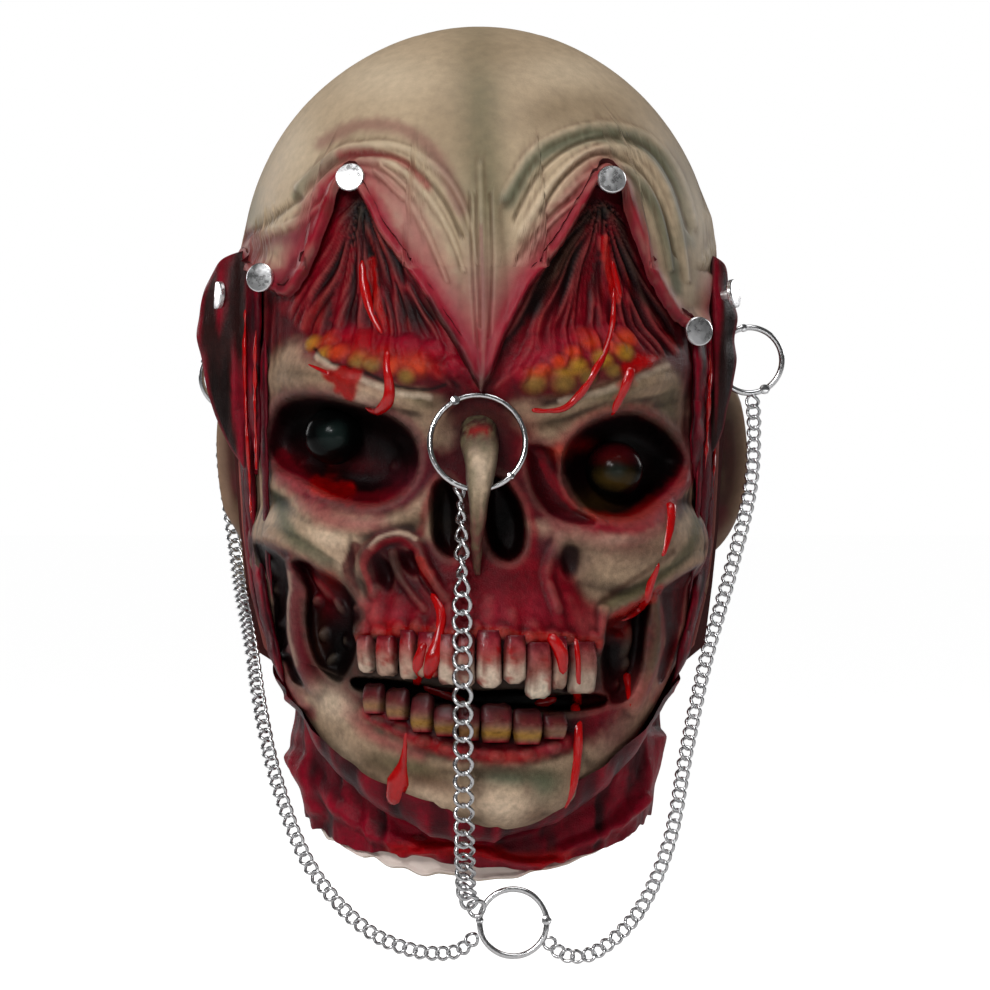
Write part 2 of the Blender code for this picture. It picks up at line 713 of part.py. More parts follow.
def make_rings(surface):
    """Work out the four rings from the surfaces that carry them."""
    bridge, _ = front_of(surface, 0.0, NOSE_RING_DROP - NOSE_RING_RADIUS)
    tilt = Vector((0.0, -math.cos(NOSE_RING_TILT), math.sin(NOSE_RING_TILT)))
    back = NOSE_RING_STANDOFF + WIRE_RADIUS - NOSE_RING_RADIUS * math.sin(NOSE_RING_TILT)
    nose_centre = Vector((0.0, bridge.y - back, WALL - NOSE_RING_DROP))
    rings = {
        "nose_ring": Ring(
            "nose_ring", nose_centre, NOSE_RING_RADIUS, tilt, NOSE_RING_HINGE, NOSE_RING_SNAP
        )
    }
    for name, side, outset, setback, drop, hinge, snap in EAR_RINGS:
        root, _ = side_of(surface, side, setback, drop)
        centre = root + Vector((side * outset, 0.0, 0.0))
        key = f"{name}_ear_ring"
        rings[key] = Ring(key, centre, SMALL_RING_RADIUS, (EAR_RING_TURN * side, -1.0, 0.0),
                          math.radians(hinge), math.radians(snap))
    gather = (GATHER_RING_OFFSET, -GATHER_RING_FORWARD, WALL - GATHER_RING_DROP)
    facing = (0.0, -math.cos(GATHER_RING_TILT), math.sin(GATHER_RING_TILT))
    rings["gather_ring"] = Ring(
        "gather_ring", gather, SMALL_RING_RADIUS, facing, GATHER_RING_HINGE, GATHER_RING_SNAP
    )
    return rings


def route(first, first_angle, points, last, last_angle, seat):
    """Join two rings by the chosen points of a chain, whose ends lie a seat off the wire."""
    middle = [Vector((x, -forward, WALL - drop)) for x, forward, drop in points]
    start = [first.lead(first_angle, seat), first.lead(first_angle, CHAIN_LEAD)]
    end = [last.lead(last_angle, CHAIN_LEAD), last.lead(last_angle, seat)]
    return start + middle + end


def run_length(points, steps=400):
    """List points along a smooth route with the length run so far."""
    places = [Vector(spline(points, i / steps)) for i in range(steps + 1)]
    lengths = [0.0]
    for before, after in zip(places, places[1:]):
        lengths.append(lengths[-1] + (after - before).length)
    return places, lengths


def at_length(places, lengths, wanted):
    """Read a point of a measured route at a length."""
    for i in range(1, len(lengths)):
        if lengths[i] >= wanted:
            share = (wanted - lengths[i - 1]) / (lengths[i] - lengths[i - 1])
            return places[i - 1].lerp(places[i], share)
    return places[-1]


def curb_link(name, centre, along, half_length, roll):
    """Make one twisted link of round wire, rolled round the chain."""
    face = Vector((0.0, -1.0, 0.0))
    face = (face - along * face.dot(along)).normalized()
    face.rotate(Quaternion(along, roll))
    wide = along.cross(face).normalized()
    half_width = (LINK_WIDTH - LINK_WIRE) / 2
    middle_line = []
    for i in range(LINK_SIDES):
        turn = 2 * math.pi * (i + 0.5) / LINK_SIDES
        run = math.cos(turn) * half_length
        out = math.sin(turn) * half_width
        twist = LINK_TWIST / 2 * math.cos(turn)
        offset = wide * math.cos(twist) + face * math.sin(twist)
        middle_line.append(centre + along * run + offset * out)
    sections = []
    for i in range(LINK_SIDES):
        ahead = middle_line[(i + 1) % LINK_SIDES] - middle_line[i - 1]
        ahead.normalize()
        out = middle_line[i] - centre
        out = (out - ahead * out.dot(ahead)).normalized()
        side = ahead.cross(out)
        turns = [2 * math.pi * j / LINK_WIRE_SIDES for j in range(LINK_WIRE_SIDES)]
        sections.append([
            middle_line[i] + (out * math.cos(t) + side * math.sin(t)) * (LINK_WIRE / 2)
            for t in turns
        ])
    return welded(loft(name, sections + [sections[0]], closed_ends=False))


def make_link_chain(name, points, finish):
    """Make a chain of interlocked links, fused where they bear on each other."""
    places, lengths = run_length(points)
    count = round(lengths[-1] / LINK_PITCH)
    pitch = lengths[-1] / count
    half_length = (pitch + LINK_WIRE * LINK_NEST) / 2
    links = []
    for i in range(count):
        roll = END_ROLL * max(0.0, 1.0 - i / ROLL_LINKS, 1.0 - (count - 1 - i) / ROLL_LINKS)
        start = at_length(places, lengths, pitch * i)
        end = at_length(places, lengths, pitch * (i + 1))
        along = (end - start).normalized()
        middle = (start + end) / 2
        links.append(curb_link(f"{name}_{i + 1}", middle, along, half_length, roll))
    body = place(name + "_links", links[0])
    tools = [cutter(mesh.name, mesh) for mesh in links[1:]]
    combine(body, tools, "UNION")
    return baked(name, body, finish)


def make_tube_chain(name, points, finish):
    """Make the plain round form of a fine chain, closed at both ends."""
    places, lengths = run_length(points)
    curve = bpy.data.curves.new(name, "CURVE")
    curve.dimensions = "3D"
    curve.bevel_depth = SIDE_CHAIN_WIDTH / 2
    curve.bevel_resolution = 2
    curve.use_fill_caps = True
    line = curve.splines.new("POLY")
    line.points.add(SIDE_CHAIN_POINTS - 1)
    for i in range(SIDE_CHAIN_POINTS):
        point = at_length(places, lengths, lengths[-1] * i / (SIDE_CHAIN_POINTS - 1))
        line.points[i].co = (*point, 1.0)
    tube = bpy.data.objects.new(name + "_tube", curve)
    CASTING.objects.link(tube)
    return baked(name, tube, finish)


def main():
    """Build the whole mask."""
    for old in list(bpy.data.objects):
        bpy.data.objects.remove(old)
    for collection in (CASTING, CUTTERS):
        bpy.context.scene.collection.children.link(collection)
    latex = material("painted_latex", (0.42, 0.30, 0.22), 0.55)
    chrome = material("chrome_wire", (0.75, 0.75, 0.76), 0.15, 1.0)
    steel = material("nail_steel", (0.80, 0.80, 0.80), 0.25, 1.0)

    outer = head_form(0.0, 0.0)
    surface = BVHTree.FromBMesh(outer)
    casting = place("casting", mesh_of("casting", outer))
    cavity = cutter("cavity", mesh_of("cavity", head_form(WALL, CAVITY_OVERRUN)))
    rings = make_rings(surface)
    lines = nail_lines(surface)
    ears, dishes = make_ears(surface)
    bosses, holes = make_bosses(lines)
    combine(casting, make_hollows(surface, 0.0), "DIFFERENCE")
    combine(cavity, make_hollows(surface, WALL), "DIFFERENCE")
    joined = ears + make_flaps(surface) + make_teeth(surface) + bosses + make_eyeballs(surface)
    joined.append(make_nose_bone(surface))
    combine(casting, joined, "UNION")
    combine(casting, [cavity] + dishes + holes, "DIFFERENCE")
    for name in ("nose_ring", "right_ear_ring", "left_ear_ring"):
        combine(casting, rings[name].passage(), "DIFFERENCE")
    baked("mask_shell", casting, latex)

    for ring in rings.values():
        ring.build(chrome)
    make_nails(lines, steel)
    nose, gather = rings["nose_ring"], rings["gather_ring"]
    right, left = rings["right_ear_ring"], rings["left_ear_ring"]
    hooked = LINK_WIRE * (LINK_NEST - 1.0) / 2 - WIRE_RADIUS - FIT_GAP
    nose_route = route(
        nose, NOSE_CHAIN_ANGLE, NOSE_CHAIN_ROUTE, gather, GATHER_NOSE_ANGLE, hooked
    )
    make_link_chain("nose_chain", nose_route, chrome)
    clear = WIRE_RADIUS + PASSAGE_GAP
    for name, ring, points, angle in (
        ("right_chain", right, RIGHT_CHAIN_ROUTE, GATHER_RIGHT_ANGLE),
        ("left_chain", left, LEFT_CHAIN_ROUTE, GATHER_LEFT_ANGLE),
    ):
        side_route = route(ring, EAR_CHAIN_ANGLE, points, gather, angle, clear)
        make_tube_chain(name, side_route, chrome)


main()
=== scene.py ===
"""Latex horror mask: painted skin, bare skull face, rings, chains and nails.

The head looks along -Y and +Z is up. Places on the face are given as they are seen from straight
ahead, in pixels of a frame 990 wide in which one pixel is 0.43 mm, and turned into metres by
FaceView. Heights and depths are millimetres. Right and left are the wearer's.
"""

import logging
import math
from dataclasses import dataclass, field
from enum import Enum
from typing import Sequence

import bmesh
import bpy
import numpy as np
from mathutils import Matrix, Vector
from mathutils.bvhtree import BVHTree


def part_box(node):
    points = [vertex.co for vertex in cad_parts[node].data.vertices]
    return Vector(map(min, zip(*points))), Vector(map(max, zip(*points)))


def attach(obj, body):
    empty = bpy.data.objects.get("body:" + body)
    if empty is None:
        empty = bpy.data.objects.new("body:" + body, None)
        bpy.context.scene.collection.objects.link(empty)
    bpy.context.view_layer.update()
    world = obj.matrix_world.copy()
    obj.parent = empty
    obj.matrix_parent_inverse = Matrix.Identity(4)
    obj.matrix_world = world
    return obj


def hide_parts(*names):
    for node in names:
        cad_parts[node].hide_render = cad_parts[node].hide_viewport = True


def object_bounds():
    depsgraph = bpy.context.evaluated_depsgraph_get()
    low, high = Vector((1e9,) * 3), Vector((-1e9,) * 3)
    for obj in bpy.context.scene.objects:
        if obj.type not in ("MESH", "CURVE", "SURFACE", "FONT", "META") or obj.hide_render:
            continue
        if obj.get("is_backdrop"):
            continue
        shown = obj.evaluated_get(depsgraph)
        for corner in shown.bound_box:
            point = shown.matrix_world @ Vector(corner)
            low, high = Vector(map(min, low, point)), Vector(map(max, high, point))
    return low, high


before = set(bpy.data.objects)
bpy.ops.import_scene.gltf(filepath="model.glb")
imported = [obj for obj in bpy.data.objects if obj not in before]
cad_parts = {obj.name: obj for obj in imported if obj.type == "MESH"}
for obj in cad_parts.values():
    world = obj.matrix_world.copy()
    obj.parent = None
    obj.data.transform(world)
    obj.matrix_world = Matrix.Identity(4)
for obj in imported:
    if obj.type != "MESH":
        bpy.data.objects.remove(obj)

LOG = logging.getLogger("horror_mask")
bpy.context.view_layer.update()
MM = 0.001
BODY = "root"
Point = tuple[float, float]


class Tint(Enum):
    """Paint colours, as 8 bit screen values."""

    SKIN = (186, 163, 134)
    SKIN_LIGHT = (212, 193, 166)
    SKIN_SHADE = (140, 120, 94)
    OLIVE = (104, 98, 72)
    GREEN_GREY = (84, 92, 72)
    MAUVE = (116, 42, 56)
    ROSE = (150, 48, 64)
    CRIMSON = (142, 8, 34)
    MUSCLE = (88, 6, 22)
    DARK_MUSCLE = (34, 4, 10)
    BLACK = (9, 6, 6)
    BLOOD = (148, 2, 6)
    BRIGHT_BLOOD = (178, 4, 6)
    BONE = (180, 156, 131)
    BONE_LIGHT = (218, 196, 172)
    BONE_SHADE = (98, 80, 62)
    YELLOW = (172, 128, 38)
    ORANGE = (192, 58, 20)
    FAT_OLIVE = (134, 104, 46)
    CREAM = (228, 207, 182)
    BARE = (236, 220, 210)
    PINK = (182, 88, 88)
    TOOTH = (164, 130, 112)
    TOOTH_TIP = (220, 202, 180)
    BROWN = (82, 44, 28)
    EYE_DARK = (10, 11, 11)
    EYE_CLOUD = (48, 66, 62)

    def linear(self) -> np.ndarray:
        """Give the colour as linear light."""
        screen = np.array(self.value, float) / 255.0
        return np.where(screen <= 0.04045, screen / 12.92, ((screen + 0.055) / 1.055) ** 2.4)


# The colours under short names, for the tables of marks.
(SKIN, SKIN_LIGHT, SKIN_SHADE, OLIVE, GREEN_GREY, MAUVE, ROSE, CRIMSON, MUSCLE, DARK_MUSCLE, BLACK, BLOOD,
 BRIGHT_BLOOD, BONE, BONE_LIGHT, BONE_SHADE, YELLOW, ORANGE, FAT_OLIVE, CREAM, BARE, PINK, TOOTH,
 TOOTH_TIP, BROWN, EYE_DARK, EYE_CLOUD) = Tint


class Slot(Enum):
    """Names of the material slots, one given with each piece."""

    LATEX = "painted_latex"
    WIRE = "chrome_wire"
    CHAIN = "curb_chain"
    STEEL = "nail_steel"


@dataclass(frozen=True)
class FaceView:
    """How a place seen from straight ahead becomes a place in metres."""

    pixel: float = 0.00043
    axis_column: float = 478.0
    crown_row: float = 25.0
    crown_z: float = field(default_factory=lambda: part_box("mask_shell")[1].z)

    def across(self, column: np.ndarray | float) -> np.ndarray | float:
        """Turn a column into metres across from the middle of the head."""
        return (column - self.axis_column) * self.pixel

    def height(self, row: np.ndarray | float) -> np.ndarray | float:
        """Turn a row into metres above the origin."""
        return self.crown_z - (row - self.crown_row) * self.pixel

    def column(self, across: np.ndarray | float) -> np.ndarray | float:
        """Turn metres across into a column."""
        return self.axis_column + across / self.pixel

    def row(self, height: np.ndarray | float) -> np.ndarray | float:
        """Turn metres above the origin into a row."""
        return self.crown_row + (self.crown_z - height) / self.pixel


VIEW = FaceView()


def smooth(low: float, high: float, value: np.ndarray) -> np.ndarray:
    """Rise smoothly from 0 at low to 1 at high."""
    share = np.clip((value - low) / (high - low), 0.0, 1.0)
    return share * share * (3.0 - 2.0 * share)


def value_noise(points: np.ndarray, seed: int) -> np.ndarray:
    """Read smooth noise between -1 and 1 at points whose cells are one unit wide.

    Args:
        points: places, with three numbers in the last axis.
        seed: picks the pattern.

    Returns:
        One number for each place.
    """
    cell = np.floor(points).astype(np.int64)
    local = points - cell
    local = local * local * (3.0 - 2.0 * local)
    total = np.zeros(points.shape[:-1])
    for corner in range(8):
        step = np.array([corner & 1, corner >> 1 & 1, corner >> 2 & 1])
        place = cell + step
        mixed = place[..., 0] * 374761393 + place[..., 1] * 668265263 + place[..., 2] * 1440662683
        mixed = (mixed + seed * 974634777) & 0xFFFFFFFF
        mixed = ((mixed ^ (mixed >> 13)) * 1274126177) & 0xFFFFFFFF
        value = ((mixed ^ (mixed >> 16)) & 0xFFFF) / 32767.5 - 1.0
        weight = np.prod(np.where(step == 1, local, 1.0 - local), axis=-1)
        total += value * weight
    return total


def plane_noise(first: np.ndarray, second: np.ndarray | float, seed: int, third: float = 0.0) -> np.ndarray:
    """Read smooth noise over two coordinates whose cells are one unit wide."""
    return value_noise(np.stack(np.broadcast_arrays(first, second, third), axis=-1), seed)


def fractal(points: np.ndarray, size: float, seed: int, octaves: int = 4) -> np.ndarray:
    """Add up noise of halving sizes, the largest of a given size in metres."""
    total = np.zeros(points.shape[:-1])
    strength = 0.55
    for octave in range(octaves):
        total += strength * value_noise(points * (2**octave / size), seed + 31 * octave)
        strength *= 0.5
    return total


def curve_through(points: Sequence[Sequence[float]], steps: int = 6, closed: bool = False) -> np.ndarray:
    """Run a smooth curve through points.

    Args:
        points: the points to pass, in any number of dimensions.
        steps: how many points to give for each stretch.
        closed: whether the last point joins the first.

    Returns:
        The points of the curve.
    """
    path = np.array(points, float)
    count = len(path)
    stretches = count if closed else count - 1
    result = []
    for i in range(stretches):
        if closed:
            a, b, c, d = (path[(i + k) % count] for k in (-1, 0, 1, 2))
        else:
            a, b = path[max(i - 1, 0)], path[i]
            c, d = path[i + 1], path[min(i + 2, count - 1)]
        for k in range(steps):
            s = k / steps
            result.append(0.5 * (2 * b + (c - a) * s + (2 * a - 5 * b + 4 * c - d) * s * s
                                 + (3 * b - a - 3 * c + d) * s**3))
    result.append(path[0] if closed else path[-1])
    return np.array(result)


def runs_of(line: np.ndarray) -> np.ndarray:
    """Measure how far along a line each of its points lies."""
    return np.concatenate([[0.0], np.cumsum(np.linalg.norm(np.diff(line, axis=0), axis=1))])


def line_distance(x: np.ndarray, y: np.ndarray, line: np.ndarray) -> tuple[np.ndarray, np.ndarray]:
    """Measure how far places are from a line, and how far along it the nearest point is.

    Args:
        x: columns of the places.
        y: rows of the places.
        line: the points of the line.

    Returns:
        The distances, and the shares of the line's length run.
    """
    runs = runs_of(line)
    nearest = np.full(x.shape, 1e9)
    along = np.zeros(x.shape)
    for i, (dx, dy) in enumerate(np.diff(line, axis=0)):
        size = dx * dx + dy * dy + 1e-12
        share = np.clip(((x - line[i, 0]) * dx + (y - line[i, 1]) * dy) / size, 0.0, 1.0)
        distance = np.hypot(x - line[i, 0] - share * dx, y - line[i, 1] - share * dy)
        closer = distance < nearest
        nearest = np.where(closer, distance, nearest)
        along = np.where(closer, (runs[i] + share * math.sqrt(size)) / runs[-1], along)
    return nearest, along


def is_inside(x: np.ndarray, y: np.ndarray, outline: np.ndarray) -> np.ndarray:
    """Say which places lie inside a closed outline."""
    inside = np.zeros(x.shape, bool)
    for (x0, y0), (x1, y1) in zip(outline, outline[1:]):
        crosses = (y0 > y) != (y1 > y)
        rise = y1 - y0 if abs(y1 - y0) > 1e-9 else 1e-9
        inside ^= crosses & (x < x0 + (x1 - x0) * (y - y0) / rise)
    return inside


def blurred(values: np.ndarray, radius: int) -> np.ndarray:
    """Blur a grid of values with three passes of a square box."""
    result = values
    for _ in range(3):
        for axis in (0, 1):
            pads = [(radius + 1, radius) if k == axis else (0, 0) for k in range(result.ndim)]
            summed = np.cumsum(np.pad(result, pads, mode="edge"), axis=axis)
            size = summed.shape[axis]
            high = np.take(summed, range(2 * radius + 1, size), axis=axis)
            low = np.take(summed, range(0, size - 2 * radius - 1), axis=axis)
            result = (high - low) / (2 * radius + 1)
    return result


def spread(values: np.ndarray, radius: int) -> np.ndarray:
    """Give each place the highest value that lies within a few steps of it."""
    rows, columns = values.shape
    padded = np.pad(values, radius, mode="edge")
    shifts = range(2 * radius + 1)
    return np.max([padded[i : i + rows, j : j + columns] for i in shifts for j in shifts], axis=0)


# Levels of the head from its widest down: drops at the side, the front and the back as shares of the
# face's height, then the half width, front reach and back reach as shares of the head's sizes.
SECTIONS = {
    "temple": (0.000, 0.000, 0.000, 1.000, 1.000, 1.000),
    "brow": (0.185, 0.185, 0.185, 1.010, 1.030, 1.015),
    "eye": (0.330, 0.330, 0.330, 1.000, 1.005, 0.995),
    "cheek": (0.480, 0.490, 0.480, 0.985, 1.000, 0.950),
    "gum": (0.580, 0.630, 0.600, 0.955, 1.040, 0.860),
    "bite": (0.640, 0.760, 0.690, 0.925, 1.040, 0.780),
    "chin": (0.675, 0.910, 0.760, 0.890, 1.020, 0.730),
    "jaw edge": (0.700, 0.995, 0.800, 0.850, 0.930, 0.710),
    "under jaw": (0.730, 1.005, 0.840, 0.780, 0.660, 0.705),
    "neck": (0.850, 1.035, 0.910, 0.765, 0.620, 0.720),
    "hem": (0.980, 1.074, 0.990, 0.730, 0.600, 0.750),
}


@dataclass(frozen=True)
class HeadForm:
    """The smooth form under all the relief: a domed crown over a table of sections."""

    half_width: float = 0.101
    crown_rise: float = 0.105
    face_height: float = 0.243
    forehead_reach: float = 0.106
    back_reach: float = 0.120
    roundness: float = 0.86
    jaw_sweep: float = 1.5

    def level_of(self, name: str) -> float:
        """Give the level number at which a named section lies."""
        return 1.0 + list(SECTIONS).index(name)

    def level(self, number: np.ndarray) -> np.ndarray:
        """Read the form at level numbers: 0 to 1 is the crown, then one for each section.

        Args:
            number: the level numbers.

        Returns:
            Six rows: the drops at the side, front and back, and the half width, front reach and
            back reach, in metres.
        """
        turn = np.clip(number, 0.0, 1.0) * math.pi / 2
        drop = self.crown_rise * (1.0 - np.cos(turn))
        size = np.sin(turn)
        crown = np.stack([drop, drop, drop, self.half_width * size,
                          self.forehead_reach * size, self.back_reach * size])
        table = np.array(list(SECTIONS.values()))
        last = len(table) - 1
        place = np.clip(number - 1.0, 0.0, last)
        step = np.minimum(place.astype(int), last - 1)
        local = (place - step)[:, None]
        a, b = table[np.maximum(step - 1, 0)], table[step]
        c, d = table[step + 1], table[np.minimum(step + 2, last)]
        shares = 0.5 * (2 * b + (c - a) * local + (2 * a - 5 * b + 4 * c - d) * local**2
                        + (3 * b - a - 3 * c + d) * local**3)
        drops = self.crown_rise + self.face_height * shares[:, :3].T
        sizes = np.array([[self.half_width], [self.forehead_reach], [self.back_reach]])
        below = np.concatenate([drops, sizes * shares[:, 3:].T])
        return np.where(number <= 1.0, crown, below)

    def surface(self, turns: np.ndarray, numbers: np.ndarray) -> np.ndarray:
        """Give surface points for level numbers (rows) and turns from the front (columns).

        Args:
            turns: angles from the front, to the left of the wearer, in radians.
            numbers: level numbers, as many as rows, or a grid of rows and columns.

        Returns:
            A grid of points in metres.
        """
        grid = numbers if numbers.ndim == 2 else np.repeat(numbers[:, None], len(turns), axis=1)
        read = self.level(grid.ravel()).reshape(6, *grid.shape)
        side, front, back, width, reach, rear = read
        facing = np.cos(turns)[None, :] * np.ones(grid.shape)
        sweep = np.abs(facing) ** self.jaw_sweep
        ahead = facing >= 0.0
        drop = np.where(ahead, side + (front - side) * sweep, side + (back - side) * sweep)
        forward = np.where(ahead, reach * np.abs(facing) ** self.roundness, -rear * np.abs(facing))
        across = width * np.sin(turns)[None, :]
        return np.stack([across, -forward, VIEW.crown_z - drop], axis=-1)

    def levels_between(self, first: float, last: float, count: int) -> np.ndarray:
        """Give level numbers that lie evenly along the front profile."""
        numbers = np.linspace(first, last, 1500)
        profile = self.surface(np.zeros(1), numbers)[:, 0]
        runs = runs_of(profile)
        return np.interp(np.linspace(0.0, runs[-1], count), runs, numbers)

    def levels_at(self, turns: np.ndarray, rows: np.ndarray, numbers: np.ndarray) -> np.ndarray:
        """Find at which of some level numbers each turn comes down to its row of the view."""
        heights = VIEW.row(self.surface(turns, numbers)[..., 2])
        return np.array([np.interp(row, heights[:, i], numbers) for i, row in enumerate(rows)])

    def turns(self, flat: float, flat_count: int, limit: float, side_count: int) -> np.ndarray:
        """Give turns that lie evenly across the front and more widely round the sides.

        Args:
            flat: half width in metres of the evenly spaced front.
            flat_count: how many columns the front has.
            limit: the last turn, in radians.
            side_count: how many more columns each side has.

        Returns:
            The turns in radians, from the right of the wearer to the left.
        """
        front = np.arcsin(np.linspace(-flat, flat, flat_count) / self.half_width)
        side = np.linspace(front[-1], limit, side_count + 1)[1:]
        return np.concatenate([-side[::-1], front, side])


HEAD = HeadForm()


def grid_normals(points: np.ndarray) -> np.ndarray:
    """Give the outward direction at each point of a grid."""
    down = np.gradient(points, axis=0)
    along = np.gradient(points, axis=1)
    normal = np.cross(down, along)
    size = np.linalg.norm(normal, axis=-1, keepdims=True)
    return normal / np.maximum(size, 1e-12)


def placed(name: str, data: bpy.types.ID) -> bpy.types.Object:
    """Make an object from its data and put it in the scene."""
    made = bpy.data.objects.new(name, data)
    bpy.context.scene.collection.objects.link(made)
    return made


def painted_mesh(name: str, points: np.ndarray, faces: np.ndarray, paint: np.ndarray | None,
                 wet: np.ndarray | float, finish: bpy.types.Material) -> bpy.types.Object:
    """Make a smooth mesh object, with its paint and wetness stored at its points where it has them.

    Args:
        name: the piece's name.
        points: a grid of places in metres.
        faces: corner numbers, four to a face.
        paint: linear colours, or None for metal.
        wet: 0 for dry paint, 1 for running blood.
        finish: the material.

    Returns:
        The new object.
    """
    mesh = bpy.data.meshes.new(name)
    mesh.from_pydata(points.reshape(-1, 3).tolist(), [], faces.tolist())
    if paint is not None:
        colours = mesh.color_attributes.new("paint", "FLOAT_COLOR", "POINT")
        flat = np.ones((len(mesh.vertices), 4), np.float32)
        flat[:, :3] = paint.reshape(-1, 3)
        colours.data.foreach_set("color", flat.ravel())
        wetness = mesh.attributes.new("wet", "FLOAT", "POINT")
        wetness.data.foreach_set("value", np.broadcast_to(wet, points.shape[:-1]).ravel().astype(np.float32))
    mesh.shade_smooth()
    mesh.materials.append(finish)
    return placed(name, mesh)


def grid_faces(rows: int, columns: int, closed: bool = False) -> np.ndarray:
    """List the faces of a grid whose rows run down and whose columns run to the left.

    Args:
        rows: how many rows of points.
        columns: how many columns of points.
        closed: whether the last column joins the first.

    Returns:
        Four corner numbers for each face.
    """
    across = columns if closed else columns - 1
    r, c = np.meshgrid(np.arange(rows - 1), np.arange(across), indexing="ij")
    following = (c + 1) % columns
    corners = [r * columns + c, (r + 1) * columns + c,
               (r + 1) * columns + following, r * columns + following]
    return np.stack(corners, axis=-1).reshape(-1, 4)


def layered(paint: np.ndarray, covers: Sequence[tuple[np.ndarray, Tint]]) -> np.ndarray:
    """Brush colours over paint one after the other, each with its own cover."""
    for cover, colour in covers:
        share = np.clip(cover, 0.0, 1.0)[..., None]
        paint = paint * (1.0 - share) + colour.linear() * share
    return paint


def closed_up(made: bpy.types.Object, loops: Sequence[Sequence[int]] = ()) -> bpy.types.Object:
    """Fill the open ends of a piece, merge its doubled points and turn its faces outwards."""
    form = bmesh.new()
    form.from_mesh(made.data)
    form.verts.ensure_lookup_table()
    for loop in loops:
        form.faces.new([form.verts[i] for i in loop])
    bmesh.ops.remove_doubles(form, verts=form.verts, dist=2e-6)
    bmesh.ops.recalc_face_normals(form, faces=form.faces)
    form.to_mesh(made.data)
    form.free()
    return made


def closed_form(name: str, points: np.ndarray, paint: np.ndarray | None, wet: np.ndarray | float,
                finish: bpy.types.Material, ends: bool = True) -> bpy.types.Object:
    """Make a piece from a grid of points that goes round, with a face over each end.

    Args:
        name: the piece's name.
        points: rings of places in metres.
        paint: linear colours, or None for metal.
        wet: 0 for dry paint, 1 for running blood.
        finish: the material.
        ends: whether the first and the last ring need a face of their own.

    Returns:
        The new object.
    """
    rings, sides = points.shape[:2]
    made = painted_mesh(name, points, grid_faces(rings, sides, closed=True), paint, wet, finish)
    return closed_up(made, [range(sides), range((rings - 1) * sides, rings * sides)] if ends else [])


def joined(name: str, objects: Sequence[bpy.types.Object]) -> bpy.types.Object:
    """Join painted objects into one piece."""
    form = bmesh.new()
    for item in objects:
        form.from_mesh(item.data)
    mesh = bpy.data.meshes.new(name)
    form.to_mesh(mesh)
    form.free()
    mesh.materials.append(objects[0].data.materials[0])
    for item in objects:
        bpy.data.objects.remove(item)
    return placed(name, mesh)


def settle(piece: bpy.types.Object, slot: Slot, *nodes: str) -> bpy.types.Object:
    """Fix a finished piece to the mask, and hide the solids it stands for."""
    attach(piece, BODY)
    if nodes:
        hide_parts(*nodes)
    LOG.info("%s: %d faces", piece.name, len(piece.data.polygons))
    return piece


def tucked(points: np.ndarray, paint: np.ndarray, wet: np.ndarray, inner: Sequence[np.ndarray],
           shades: Sequence[float]) -> tuple[np.ndarray, np.ndarray, np.ndarray]:
    """Add rows that turn a patch's last row inwards, painted as shade: the last row's paint times each factor."""
    rows = [np.concatenate([points, np.array(inner)]),
            np.concatenate([paint, *(paint[-1:] * shade for shade in shades)]),
            np.concatenate([wet, np.repeat(wet[-1:], len(inner), axis=0)])]
    return tuple(rows)


